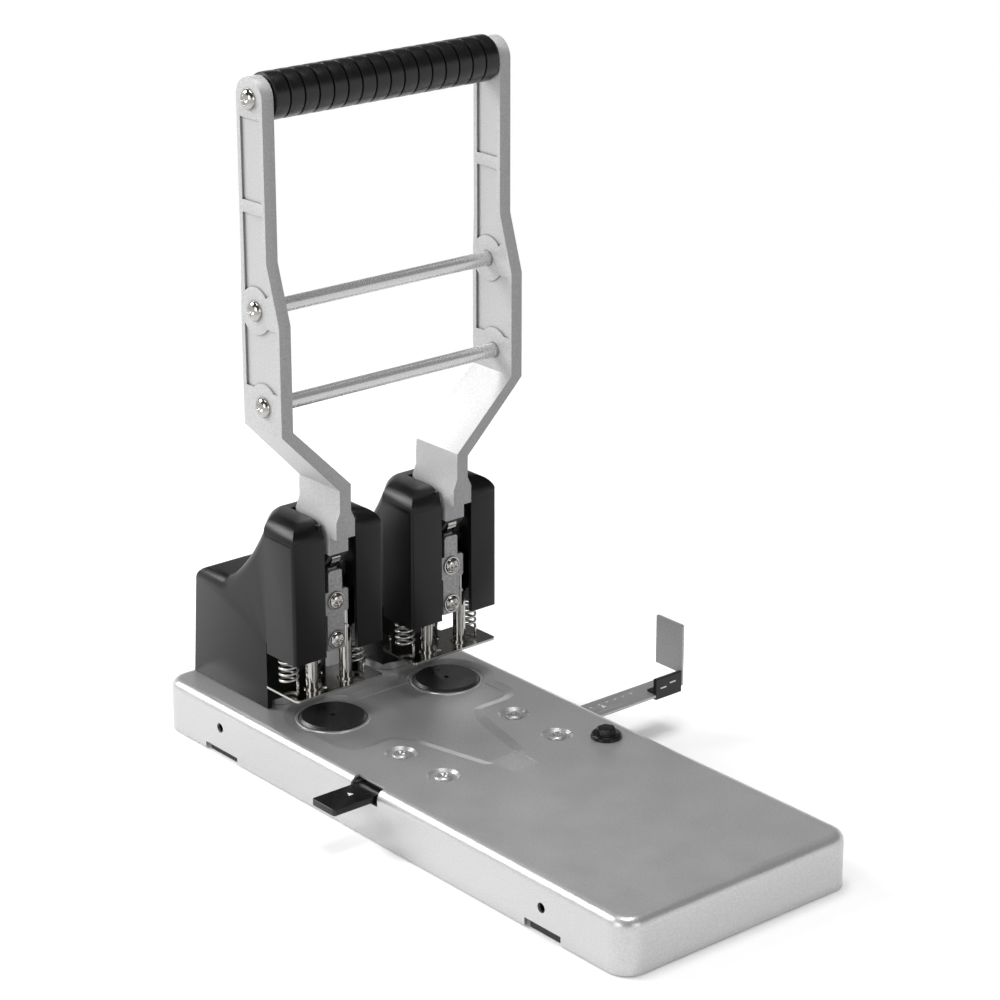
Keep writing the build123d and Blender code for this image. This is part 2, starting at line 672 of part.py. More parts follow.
# ================================================================ heads
def cover_form(x, inset):
    """Form of a head cover, drawn in by inset: a narrow housing behind a wide front block."""
    low = base_height + seat
    inner_front = head_front + cover_round + 1      # the housing starts inside the front block
    far = housing_rear + 20
    half = housing_half - inset
    with BuildPart() as housing:
        with BuildSketch(Plane.YZ.offset(x - half)) as profile:
            with BuildLine():
                Polyline(
                    (sweep_foot_y, housing_top),
                    (far, housing_top),
                    (far, low),
                    (throat_y, low),
                    (throat_y, head_bottom - 1),
                    (inner_front, head_bottom),
                    (inner_front, head_top),
                    (crown_y, head_top),
                    sweep_head,
                )
                ThreePointArc(sweep_head, sweep_mid, (sweep_foot_y, housing_top))
            make_face()
            corners = profile.vertices()
            fillet(corners.sort_by_distance((sweep_foot_y, housing_top, 0))[0], 9)
            corners = profile.vertices()
            fillet(corners.sort_by_distance((crown_y, head_top, 0))[0], 8)
            corners = profile.vertices()
            fillet(corners.sort_by_distance((*sweep_head, 0))[0], 6)
            if inset > 0:
                offset(amount=-inset)
        extrude(amount=2 * half)
        ridge = [
            edge
            for edge in housing.edges()
            if abs(abs(edge.center().X - x) - half) < 0.05
            and edge.center().Y > inner_front + inset + 0.5
            and edge.center().Z > housing_top - inset - 0.5
        ]
        fillet(ridge, housing_round - inset)
        # sloping rear wall
        with BuildSketch(Plane.YZ.offset(x - head_half)) as rear:
            with BuildLine():
                Polyline(
                    (inner_front - 20, low - 10),
                    (inner_front - 20, head_top + 20),
                    (sweep_foot_y + 13, head_top + 20),
                    (sweep_foot_y + 13, housing_top),
                    (housing_rear_top, housing_top),
                    (housing_rear, low),
                    (housing_rear, low - 10),
                    close=True,
                )
            make_face()
            corners = rear.vertices()
            fillet(corners.sort_by_distance((housing_rear_top, housing_top, 0))[0], shelf_round)
            if inset > 0:
                offset(amount=-inset)
        extrude(amount=2 * head_half, mode=Mode.INTERSECT)
    with BuildPart() as block:
        with BuildSketch(Plane.XY.offset(head_bottom)) as plan:
            with BuildLine():
                shoulder = shoulder_y - 0.4 * inset
                right = [
                    (head_half - inset, head_front + inset),
                    (head_half - inset, shoulder),
                    (half, shoulder + head_half - housing_half),
                ]
                left = [(-px, py) for px, py in reversed(right)]
                Polyline(*[(x + px, py) for px, py in right + left], close=True)
            make_face()
            if cover_corner > inset:
                fillet(plan.vertices().group_by(Axis.Y)[0], cover_corner - inset)
        extrude(amount=head_top - head_bottom - inset)
        # rounded upper edges along the front, the sides and the shoulders, mitred at the corners
        side_out = head_half - inset
        shoulder_out = (side_out + shoulder) / sqrt(2)
        for turn, out, edge_round in (
            (-90, -head_front - inset, cover_round),
            (0, side_out, cover_round),
            (180, side_out, cover_round),
            (45, shoulder_out, housing_round),
            (135, shoulder_out, housing_round),
        ):
            outward = Vector(cos(radians(turn)), sin(radians(turn)), 0)
            along = Vector(sin(radians(turn)), -cos(radians(turn)), 0)
            with BuildSketch(Plane((x, 0, 0), x_dir=outward, z_dir=along)) as section:
                with Locations((out - 50, head_top - inset - 60)):
                    Rectangle(100, 120)
                upper = section.vertices().sort_by_distance((out, head_top - inset, 0))[0]
                fillet(upper, edge_round - inset)
            extrude(amount=100, both=True, mode=Mode.INTERSECT)
    with BuildPart() as form:
        add(housing.part)
        add(block.part)
    return form.part


for side, x in (("left", -head_x), ("right", head_x)):
    inward = 1 if x < 0 else -1                 # towards the other head
    foot_middle = x + inward * (foot_plate_inner - foot_plate_outer) / 2
    foot_width = foot_plate_inner + foot_plate_outer
    outer_form = cover_form(x, 0)
    inner_form = cover_form(x, cover_wall)
    with BuildPart() as head_cover:
        add(outer_form)
        add(inner_form, mode=Mode.SUBTRACT)
        # open below: the housing over its frame, the front block over the slide
        with BuildSketch(Plane.XY.offset(base_height - 1)):
            with Locations((x, (throat_y + housing_rear) / 2)):
                Rectangle(
                    2 * (housing_half - cover_wall),
                    housing_rear - throat_y - 2 * cover_wall - 0.5,
                )
        extrude(amount=cover_wall + 3, mode=Mode.SUBTRACT)
        with BuildSketch(Plane.XY.offset(head_bottom - 4)):
            with Locations((x, (head_front + cover_wall + shoulder_y) / 2)):
                Rectangle(2 * (head_half - cover_wall), shoulder_y - head_front - cover_wall - 1)
            with Locations((x, shoulder_y + 4)):
                Rectangle(2 * (housing_half - cover_wall), 20)
        extrude(amount=8, mode=Mode.SUBTRACT)
        # cut-out over the front of the foot plate, open towards the other head
        with BuildSketch(Plane.XY.offset(base_height - 1)):
            with Locations((foot_middle + inward, foot_plate_step / 2 + seat)):
                Rectangle(foot_width + 2, foot_plate_step)
        extrude(amount=foot_plate_thick + 1 + 2 * seat, mode=Mode.SUBTRACT)
        # slot for the slide and the lever, with a lip down each side
        with BuildSketch(Plane.XY.offset(head_bottom - 4)):
            with Locations((x + (slot_right - slot_left) / 2, (head_front - 5 + slot_back) / 2)):
                Rectangle(slot_left + slot_right, slot_back - head_front + 5)
        extrude(amount=head_top, mode=Mode.SUBTRACT)
        for lip_x in (x - slot_left - lip_thick, x + slot_right):
            with BuildSketch(Plane.YZ.offset(lip_x)) as lip:
                lip_front = head_front + cover_wall - 0.5
                with Locations((lip_front + lip_depth / 2, (lip_bottom + head_top - 2) / 2)):
                    Rectangle(lip_depth, head_top - 2 - lip_bottom)
                inner_low = (lip_front + lip_depth, lip_bottom, 0)
                fillet(lip.vertices().sort_by_distance(inner_low)[0], 5)
            extrude(amount=lip_thick)
    write(head_cover, f"head_cover_{side}")

    # frame: foot plate, two cheeks, tie bar and spring pin, welded
    with BuildPart() as head_frame:
        with BuildSketch(Plane.XY.offset(base_height + seat)) as foot:
            with Locations((foot_middle, (foot_plate_front + foot_plate_step) / 2)):
                Rectangle(foot_width, foot_plate_step - foot_plate_front)
            fillet(foot.vertices().group_by(Axis.Y)[0], foot_plate_corner)
            with Locations((x, (foot_plate_step + housing_rear - 6) / 2)):
                Rectangle(2 * (cheek_gap_half + cheek_thick), housing_rear - 6 - foot_plate_step)
            with Locations(*[(x + t * bolt_offset, y) for t in (-1, 1) for y in bolt_rows]):
                Circle(bolt_radius + thread_fit, mode=Mode.SUBTRACT)
        extrude(amount=foot_plate_thick)
        for turn in (-1, 1):
            cheek_x = x + turn * (cheek_gap_half + cheek_thick / 2) - cheek_thick / 2
            with BuildSketch(Plane.YZ.offset(cheek_x)):
                column = throat_y + cover_wall + 0.7
                with BuildLine():
                    Polyline(
                        (column, foot_top - 0.5),
                        (column, slide_bottom),
                        (cheek_front, slide_bottom),
                        (cheek_front, axle_z - 10),
                        (cheek_front, axle_z + 9),
                        (-1, axle_z + 14),
                        (12, axle_z + 16),
                        (22, axle_z + 7),
                        (33, housing_top + 12),
                        (44, housing_top - 3),
                        (52, housing_top - 9),
                        (housing_rear_top - 11, housing_top - 9),
                        (housing_rear_top - 9, foot_top - 0.5),
                        close=True,
                    )
                make_face()
                with Locations((axle_y, axle_z)):
                    Circle(11)
                    Circle(axle_radius + thread_fit, mode=Mode.SUBTRACT)
            extrude(amount=cheek_thick)
        with BuildSketch(Plane.YZ.offset(x - cheek_gap_half - 0.5)):
            with Locations((50, 78)):
                Circle(4.5)
            with Locations(spring_anchor):
                Circle(spring_pin_radius)
        extrude(amount=2 * cheek_gap_half + 1)
    write(head_frame, f"head_frame_{side}")

    with BuildPart() as axle:
        with BuildSketch(Plane.YZ.offset(x - cheek_gap_half - cheek_thick - 2.7)):
            with Locations((axle_y, axle_z)):
                Circle(axle_radius)
        extrude(amount=2 * (cheek_gap_half + cheek_thick + 2.7))
        chamfer(axle.edges().filter_by(GeomType.CIRCLE), 0.6)
    write(axle, f"axle_{side}")

with BuildPart() as frame_bolts:
    with BuildSketch(Plane.XY.offset(foot_top + seat)):
        with Locations(*bolt_spots):
            RegularPolygon(4.6, 6)
    extrude(amount=4.0)
    with BuildSketch(Plane.XY.offset(foot_top + seat)):
        with Locations(*bolt_spots):
            Circle(bolt_radius)
    extrude(amount=bed_bottom + 1 - foot_top)
write(frame_bolts, "frame_bolts")

with BuildPart() as axle_clips:
    for x in (-head_x, head_x):
        for turn in (-1, 1):
            with BuildSketch(Plane.YZ.offset(x + turn * (cheek_gap_half + cheek_thick + seat + 0.6) - 0.6)):
                with Locations((axle_y, axle_z)):
                    Circle(axle_radius + 2.6)
                    Circle(axle_radius + thread_fit, mode=Mode.SUBTRACT)
            extrude(amount=1.2)
write(axle_clips, "axle_clips")

with BuildPart() as hub_spacers:
    spacer = cheek_gap_half - hub_half - 0.3 - seat
    for x in (-head_x, head_x):
        for turn in (-1, 1):
            with BuildSketch(Plane.YZ.offset(x + turn * (hub_half + 0.3 + spacer / 2) - spacer / 2)):
                with Locations((axle_y, axle_z)):
                    Circle(axle_radius + 3)
                    Circle(axle_radius + thread_fit, mode=Mode.SUBTRACT)
            extrude(amount=spacer)
write(hub_spacers, "hub_spacers")


# ================================================================ slide, punch and pressure plate
def biarc(start, start_dir, end, end_dir):
    """Two arcs that leave start along start_dir and reach end along end_dir."""
    span = end - start
    both = start_dir + end_dir
    a = both.dot(both) - 4
    b = span.dot(both)
    reach = (b - sqrt(b * b - a * span.dot(span))) / a
    knee_in = start + start_dir * reach
    knee_out = end - end_dir * reach
    middle = (knee_in + knee_out) * 0.5
    TangentArc(start, middle, tangent=start_dir)
    TangentArc(middle, end, tangent=(knee_out - knee_in).normalized())


def spring_point(x, y, low, lift, turn):
    angle = 2 * pi * turn
    spot = Vector(x + spring_radius * cos(angle), y + spring_radius * sin(angle), low + lift * turn)
    heading = Vector(-sin(angle) * 2 * pi * spring_radius, cos(angle) * 2 * pi * spring_radius, lift)
    return spot, heading.normalized()


bar_bottom = slide_bottom
spring_low = pressure_top + seat
spring_high = bar_bottom - seat
spring_lead = 2.4       # rise in which the wire turns from upright into its helix
spring_rise = spring_high - spring_low - 2 * spring_wire - 2 * spring_lead
spring_pitch = spring_rise / spring_turns
print("plate spring: gap between turns", round(spring_pitch - spring_wire, 2), "mm")

for side, x in (("left", -head_x), ("right", head_x)):
    with BuildPart() as slide_block:
        with BuildSketch(Plane.XY.offset(slide_bottom)):
            with Locations((x, (slide_front + slide_back) / 2)):
                Rectangle(2 * slide_half, slide_back - slide_front)
        extrude(amount=slide_top - slide_bottom)
        # cross bar in front of the cheeks, with a pad over each spring
        with BuildSketch(Plane.XY.offset(bar_bottom)):
            with Locations((x, (slide_front + cheek_front - slack) / 2)):
                Rectangle(2 * bar_half, cheek_front - slack - slide_front)
            for turn in (-1, 1):
                pad_inner = cheek_gap_half + cheek_thick + 0.7
                with Locations((x + turn * (pad_inner + bar_half) / 2, (slide_front - 1) / 2)):
                    Rectangle(bar_half - pad_inner, -1 - slide_front)
        extrude(amount=bar_thick)
        # upper wall behind the front plate, and the stem that the roller pushes
        with BuildSketch(Plane.XY.offset(slide_top)):
            with Locations((x, slide_front + 2.3)):
                Rectangle(16, 4.6)
        extrude(amount=8)
        with BuildSketch(Plane.XY.offset(slide_top)):
            with Locations((x, slide_front + 2.5)):
                Rectangle(roller_width, 5)
        extrude(amount=anvil_z - slide_top)
        with BuildSketch(Plane.XY.offset(slide_bottom - 1)):
            with Locations((x, 0)):
                Circle(punch_radius + thread_fit)
            with Locations((x - plate_pin_x, plate_pin_y), (x + plate_pin_x, plate_pin_y)):
                Circle(plate_pin_radius + slack)
        extrude(amount=40, mode=Mode.SUBTRACT)
        with BuildSketch(Plane.XY.offset(bar_bottom + bar_thick)):
            with Locations((x - plate_pin_x, plate_pin_y), (x + plate_pin_x, plate_pin_y)):
                Circle(plate_pin_radius + 1.1 + slack)
        extrude(amount=40, mode=Mode.SUBTRACT)
        # cut open in front of both pins, and drilled for the screws of the front plate
        with BuildSketch(Plane.XZ.offset(-slide_front)):
            for turn in (-1, 1):
                groove_mid = (front_plate_stem + 0.6 + plate_pin_x + plate_pin_radius + 1.5) / 2
                with Locations((x + turn * groove_mid, (slide_bottom - 1 + front_plate_ears[0]) / 2)):
                    Rectangle(
                        2 * (groove_mid - front_plate_stem - 0.6), front_plate_ears[0] - slide_bottom + 1
                    )
        extrude(amount=slide_front - plate_pin_y + 1.3, mode=Mode.SUBTRACT)
        with BuildSketch(Plane.XZ.offset(-slide_front)):
            with Locations(*[(x, z) for z in slide_screw_rows]):
                Circle(slide_screw_shank + thread_fit)
        extrude(amount=-slide_screw_length, mode=Mode.SUBTRACT)
    write(slide_block, f"slide_block_{side}")

    with BuildPart() as slide_plate:
        with BuildSketch(Plane.XZ.offset(-slide_front + seat)) as face:
            for low, high, half in (
                (slide_bottom - 1, front_plate_ears[1], front_plate_stem),
                (*front_plate_ears, front_plate_ear),
                (front_plate_ears[0], front_plate_top, front_plate_neck),
            ):
                with Locations((x, (low + high) / 2)):
                    Rectangle(2 * half, high - low)
            fillet(face.vertices().group_by(Axis.Y)[-1], 1.5)
            fillet(face.vertices().group_by(Axis.X)[0] + face.vertices().group_by(Axis.X)[-1], 1.2)
            with Locations(*[(x, z) for z in slide_screw_rows]):
                Circle(slide_screw_shank + thread_fit, mode=Mode.SUBTRACT)
        extrude(amount=front_plate_thick)
    write(slide_plate, f"slide_plate_{side}")

    with BuildPart() as slide_screws:
        screw_seat = Plane.XZ.offset(-slide_front + front_plate_thick + 2 * seat)
        with BuildSketch(screw_seat):
            with Locations(*[(x, z) for z in slide_screw_rows]):
                Circle(slide_screw_radius)
        extrude(amount=slide_washer_thick)
        with BuildSketch(screw_seat):
            with Locations(*[(x, z) for z in slide_screw_rows]):
                Circle(slide_screw_radius - 0.8)
        extrude(amount=slide_screw_height)
        fillet(slide_screws.faces().group_by(Axis.Y)[0].edges(), 0.6 * slide_screw_height)
        with BuildSketch(screw_seat.offset(slide_screw_height)):
            with Locations(*[(x, z) for z in slide_screw_rows]):
                Rectangle(slide_screw_radius, cross_width)
                Rectangle(cross_width, slide_screw_radius)
        extrude(amount=-cross_width, mode=Mode.SUBTRACT)
        with BuildSketch(screw_seat):
            with Locations(*[(x, z) for z in slide_screw_rows]):
                Circle(slide_screw_shank)
        extrude(amount=-slide_screw_length - front_plate_thick)
    write(slide_screws, f"slide_screws_{side}")

    with BuildPart() as hollow_punch:
        with BuildSketch(Plane.XZ):
            with BuildLine():
                Polyline(
                    (x + punch_bore, punch_tip_z),
                    (x + punch_tip_radius, punch_tip_z),
                    (x + punch_tip_radius, punch_tip_z + 3.5),
                    (x + punch_radius, punch_tip_z + 8),
                    (x + punch_radius, slide_top + seat),
                    (x + punch_radius + 1.8, slide_top + seat),
                    (x + punch_radius + 1.8, slide_top + seat + 2),
                    (x + punch_bore, slide_top + seat + 2),
                    close=True,
                )
            make_face()
        revolve(axis=Axis((x, 0, 0), (0, 0, 1)))
    write(hollow_punch, f"hollow_punch_{side}")

    with BuildPart() as pressure_plate:
        with BuildSketch(Plane.XY.offset(pressure_top - pressure_thick)) as shape:
            with Locations((x, (pressure_front + pressure_rear) / 2)):
                Rectangle(2 * pressure_half, pressure_rear - pressure_front)
            fillet(shape.vertices().group_by(Axis.Y)[0], pressure_corner)
            with Locations((x, pressure_rear)):
                SlotOverall(24, 11)
            with Locations((x, 0)):
                Circle(punch_radius + slack, mode=Mode.SUBTRACT)
            with Locations((x - 6.6, pressure_front + 6), (x + 6.6, pressure_front + 6)):
                Circle(1.4, mode=Mode.SUBTRACT)
        extrude(amount=pressure_thick)
        # ear at the end towards the other head
        inward = 1 if x < 0 else -1
        ear_x = x + inward * (pressure_half - pressure_thick / 2) - pressure_thick / 2
        with BuildSketch(Plane.YZ.offset(ear_x)) as ear:
            with Locations((pressure_rear - ear_width / 2, pressure_top + ear_height / 2 - 0.5)):
                Rectangle(ear_width, ear_height)
            fillet(ear.vertices().group_by(Axis.Y)[-1], ear_width / 2 - 0.1)
        extrude(amount=pressure_thick)
    write(pressure_plate, f"pressure_plate_{side}")

    with BuildPart() as plate_pins:
        with BuildSketch(Plane.XY.offset(pressure_top)):
            with Locations((x - plate_pin_x, plate_pin_y), (x + plate_pin_x, plate_pin_y)):
                Circle(plate_pin_radius)
        extrude(amount=plate_pin_top - pressure_top)
        with BuildSketch(Plane.XY.offset(pressure_top)):
            with Locations((x - plate_pin_x, plate_pin_y), (x + plate_pin_x, plate_pin_y)):
                Circle(plate_pin_radius + 1.3)
        extrude(amount=1.0)
        with BuildSketch(Plane.XY.offset(bar_bottom + bar_thick + 0.3)):
            with Locations((x - plate_pin_x, plate_pin_y), (x + plate_pin_x, plate_pin_y)):
                Circle(plate_pin_radius + 1.1)
        extrude(amount=1.6)
        chamfer(plate_pins.faces().group_by(Axis.Z)[-1].edges(), 0.8)
    write(plate_pins, f"plate_pins_{side}")

    spring_pair = []
    for spring_at in (x - spring_x, x + spring_x):
        helix_low = spring_low + spring_wire + spring_lead
        with BuildPart() as plate_spring:
            with BuildLine() as wire_path:
                foot_spot, heading = spring_point(spring_at, spring_y, helix_low, spring_pitch, 0)
                lead_angle = radians(50)
                start = Vector(
                    spring_at + spring_radius * cos(lead_angle),
                    spring_y - spring_radius * sin(lead_angle),
                    spring_low,
                )
                upright = Vector(0, 0, 1)
                Line(start, start + upright * spring_wire)
                biarc(start + upright * spring_wire, upright, foot_spot, heading)
                spot = foot_spot
                for quarter in range(1, 4 * spring_turns + 1):
                    next_spot, next_heading = spring_point(
                        spring_at, spring_y, helix_low, spring_pitch, quarter / 4
                    )
                    biarc(spot, heading, next_spot, next_heading)
                    spot, heading = next_spot, next_heading
                end = Vector(
                    spring_at + spring_radius * cos(lead_angle),
                    spring_y + spring_radius * sin(lead_angle),
                    spring_high,
                )
                biarc(spot, heading, end - upright * spring_wire, upright)
                Line(end - upright * spring_wire, end)
            with BuildSketch(Plane(origin=wire_path.line @ 0, z_dir=wire_path.line % 0)):
                Circle(spring_wire / 2)
            sweep()
        spring_pair.append(plate_spring.part)
    with BuildPart() as plate_springs:
        for spring_solid in spring_pair:
            add(spring_solid)
    write(plate_springs, f"plate_springs_{side}")

# ================================================================ return springs
for side, x in (("left", -head_x), ("right", head_x)):
    low = Vector(x, *spring_anchor)
    high = Vector(x, tail_y, tail_z)
    heading = (high - low).normalized()
    hook_radius = spring_pin_radius + seat + spring_hook_wire / 2
    lead = hook_radius + spring_hook_wire / 2 + 1.5
    coil_length = (high - low).length - 2 * lead
    with BuildPart() as return_spring:
        with BuildSketch(Plane(origin=low + heading * lead, z_dir=heading)):
            Circle(return_spring_radius)
        extrude(amount=coil_length)
        with BuildSketch(Plane(origin=low + heading * (lead + spring_hook_wire), z_dir=heading)):
            Circle(return_spring_radius - spring_hook_wire)
        extrude(amount=coil_length - 2 * spring_hook_wire, mode=Mode.SUBTRACT)
        with BuildSketch(Plane(origin=low + heading * hook_radius, z_dir=heading)):
            Circle(spring_hook_wire / 2 - 0.02)
        extrude(amount=lead - hook_radius + 0.3)
        with BuildSketch(Plane(origin=high - heading * hook_radius, z_dir=-heading)):
            Circle(spring_hook_wire / 2 - 0.02)
        extrude(amount=lead - hook_radius + 0.3)
        with Locations(Plane(origin=low, z_dir=(1, 0, 0)), Plane(origin=high, z_dir=(1, 0, 0))):
            Torus(hook_radius, spring_hook_wire / 2)
    write(return_spring, f"return_spring_{side}")

# ================================================================ lever arms
for side, s in (("left", -1), ("right", 1)):
    with BuildPart() as lever_arm:
        # side view, as a plate across the whole width
        with BuildSketch(Plane.YZ.offset(s * (head_x + arm_outer_x) / 2)):
            with BuildLine():
                top_round = (arm_back_y - arm_front_y) / 2
                top_mid = arm_top_z - top_round
                Polyline(
                    (arm_front_y, top_mid),
                    (arm_front_y, 296.0),
                    (arm_low_front_y, 264.5),
                    (arm_low_front_y, bend_top - 6),
                    (-30.0, strap_top - 4),
                    (-29.7, 140.0),
                    (-23.5, 140.0),
                    (-23.5, roller_z + 2.8),
                    (roller_y - lug_radius * 0.71, roller_z - lug_radius * 0.71),
                    (roller_y, roller_z - lug_radius),
                    (axle_y - hub_radius * 0.6, axle_z - hub_radius * 0.78),
                    (axle_y + hub_radius * 0.98, axle_z + 1),
                    (6.0, 140.0),
                    (6.0, strap_top - 6),
                    (arm_low_back_y, bend_top),
                    (arm_low_back_y, 266.0),
                    (arm_back_y, 292.0),
                    (arm_back_y, top_mid),
                )
                ThreePointArc(
                    (arm_back_y, top_mid),
                    ((arm_back_y + arm_front_y) / 2, arm_top_z),
                    (arm_front_y, top_mid),
                )
            make_face()
            with Locations((roller_y, roller_z)):
                Circle(lug_radius)
            with Locations((axle_y, axle_z)):
                Circle(hub_radius)
            with BuildLine():
                Polyline(
                    (axle_y, axle_z + 7),
                    (tail_y, tail_z + 4.2),
                    (tail_y + 2, tail_z - 4.2),
                    (axle_y, axle_z - 9),
                    close=True,
                )
            make_face()
            with Locations((tail_y, tail_z)):
                Circle(tail_radius)
        extrude(amount=60, both=True)
        # front view: straight limb, bend at 45 degrees, strap, block and hub
        with BuildSketch(Plane.XZ.offset(-60)):
            with BuildLine():
                strap_half = arm_thick / 2 + 0.05
                Polyline(
                    (s * arm_inner_x, arm_top_z + 5),
                    (s * arm_outer_x, arm_top_z + 5),
                    (s * arm_outer_x, bend_top - 0.5),
                    (s * (head_x + strap_half), strap_top - 1),
                    (s * (head_x + strap_half), strap_bottom),
                    (s * (head_x + hub_half), block_top),
                    (s * (head_x + hub_half), axle_z - 15),
                    (s * (head_x - hub_half), axle_z - 15),
                    (s * (head_x - hub_half), block_top),
                    (s * (head_x - strap_half), strap_bottom),
                    (s * (head_x - strap_half), strap_top + 1.5),
                    (s * arm_inner_x, bend_top + 1),
                    close=True,
                )
            make_face()
        extrude(amount=120, mode=Mode.INTERSECT)
        # milled pockets on both faces of the straight limb
        for face_x, way in ((s * arm_outer_x, -s), (s * arm_inner_x, s)):
            with BuildSketch(Plane.YZ.offset(face_x)) as pockets:
                with BuildLine():
                    Polyline(
                        (arm_front_y + pocket_margin, grip_z - 10),
                        (arm_back_y - pocket_margin, grip_z - 10),
                        (arm_back_y - pocket_margin, pocket_web[1]),
                        (arm_front_y + pocket_margin, pocket_web[1]),
                        close=True,
                    )
                make_face()
                with BuildLine():
                    Polyline(
                        (arm_front_y + pocket_margin, pocket_web[0]),
                        (arm_back_y - pocket_margin, pocket_web[0]),
                        (arm_back_y - pocket_margin, upper_rod[1] - 3.2),
                        (arm_front_y + pocket_margin - 5, upper_rod[1] + 10.8),
                        (arm_front_y + pocket_margin, upper_rod[1] + 27.8),
                        close=True,
                    )
                make_face()
                with BuildLine():
                    Polyline(
                        (arm_low_front_y + pocket_margin, upper_rod[1] - 7.7),
                        (arm_low_back_y - pocket_margin, upper_rod[1] - 7.7),
                        (arm_low_back_y - pocket_margin, lower_rod[1] + 9.1),
                        (arm_low_front_y + pocket_margin, lower_rod[1] + 9.1),
                        close=True,
                    )
                make_face()
                with Locations(upper_rod, lower_rod):
                    Circle(boss_round, mode=Mode.SUBTRACT)
            extrude(amount=way * pocket_depth, mode=Mode.SUBTRACT)
        # bores for the axle, the roller with its pin, the tail pin and the rod screws
        with BuildSketch(Plane.YZ.offset(s * head_x - hub_half - 1)):
            with Locations((axle_y, axle_z)):
                Circle(axle_radius + pin_fit)
            with Locations((roller_y, roller_z)):
                Circle(roller_pin_radius + thread_fit)
        extrude(amount=2 * hub_half + 2, mode=Mode.SUBTRACT)
        with BuildSketch(Plane.YZ.offset(s * head_x - roller_width / 2 - slack)) as gap:
            with Locations((roller_y, roller_z)):
                Circle(roller_radius + 0.55)
            with Locations((roller_y - 6.5, roller_z - 12)):
                Rectangle(19, 24)
            with Locations((axle_y, axle_z)):
                Circle(hub_radius, mode=Mode.SUBTRACT)
        extrude(amount=roller_width + 2 * slack, mode=Mode.SUBTRACT)
        with BuildSketch(Plane.YZ.offset(s * head_x - spring_hook_wire)):
            with Locations((tail_y, tail_z)):
                Circle(tail_radius + 2.2)
                Circle(spring_pin_radius, mode=Mode.SUBTRACT)
        extrude(amount=2 * spring_hook_wire, mode=Mode.SUBTRACT)
        with BuildSketch(Plane.YZ.offset(s * arm_outer_x + 1)):
            with Locations((grip_y, grip_z), upper_rod, lower_rod):
                Circle(arm_screw_shank + thread_fit)
        extrude(amount=60, both=True, mode=Mode.SUBTRACT)
    write(lever_arm, f"lever_arm_{side}")

    with BuildPart() as press_roller:
        with BuildSketch(Plane.YZ.offset(s * head_x - roller_width / 2)):
            with Locations((roller_y, roller_z)):
                Circle(roller_radius)
        extrude(amount=roller_width)
        with BuildSketch(Plane.YZ.offset(s * head_x - hub_half + 0.2)):
            with Locations((roller_y, roller_z)):
                Circle(roller_pin_radius)
        extrude(amount=2 * hub_half - 0.4)
    write(press_roller, f"press_roller_{side}")

    with BuildPart() as arm_screws:
        with BuildSketch(Plane.YZ.offset(s * (arm_outer_x + seat))):
            with Locations((grip_y, grip_z), upper_rod, lower_rod):
                Circle(arm_screw_radius)
        extrude(amount=s * arm_screw_head)
        fillet(arm_screws.faces().group_by(Axis.X)[-1 if s > 0 else 0].edges(), 0.75 * arm_screw_head)
        with BuildSketch(Plane.YZ.offset(s * (arm_outer_x + seat + arm_screw_head + 0.5))):
            with Locations((grip_y, grip_z), upper_rod, lower_rod):
                Rectangle(arm_screw_radius, cross_width)
                Rectangle(cross_width, arm_screw_radius)
        extrude(amount=-s * 2 * cross_width, mode=Mode.SUBTRACT)
        with BuildSketch(Plane.YZ.offset(s * (arm_outer_x + seat))):
            with Locations((grip_y, grip_z), upper_rod, lower_rod):
                Circle(arm_screw_shank)
        extrude(amount=-s * arm_screw_length)
    write(arm_screws, f"arm_screws_{side}")

# ================================================================ cross rods and grip
for name, (y, z), radius in (
    ("upper_cross_rod", upper_rod, rod_radius),
    ("lower_cross_rod", lower_rod, rod_radius),
    ("grip_bar", (grip_y, grip_z), grip_bar_radius),
):
    with BuildPart() as rod:
        with BuildSketch(Plane.YZ.offset(-rod_half)):
            with Locations((y, z)):
                Circle(radius)
        extrude(amount=2 * rod_half)
        with BuildSketch(Plane.YZ.offset(rod_half + 1)):
            with Locations((y, z)):
                Circle(arm_screw_shank + thread_fit)
        extrude(amount=arm_thick - arm_screw_length - 2, mode=Mode.SUBTRACT)
        with BuildSketch(Plane.YZ.offset(-rod_half - 1)):
            with Locations((y, z)):
                Circle(arm_screw_shank + thread_fit)
        extrude(amount=arm_screw_length + 2 - arm_thick, mode=Mode.SUBTRACT)
    write(rod, name)

with BuildPart() as grip:
    grip_half = rod_half - 0.8
    rib = 2 * grip_half / grip_ribs
    with BuildSketch(Plane.XZ.offset(-grip_y)):
        with BuildLine():
            valley = grip_z + grip_radius - grip_rib_depth
            for n in range(grip_ribs):
                left_x = -grip_half + n * rib
                ThreePointArc(
                    (left_x, valley),
                    (left_x + rib / 2, grip_z + grip_radius),
                    (left_x + rib, valley),
                )
            Polyline(
                (grip_half, valley),
                (grip_half, grip_z + grip_bar_radius + seat),
                (-grip_half, grip_z + grip_bar_radius + seat),
                (-grip_half, valley),
            )
        make_face()
    revolve(axis=Axis((0, grip_y, grip_z), (1, 0, 0)))
write(grip, "grip")
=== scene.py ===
from math import cos, pi, radians, sin, sqrt

import bmesh
import bpy
from mathutils import Matrix, Vector


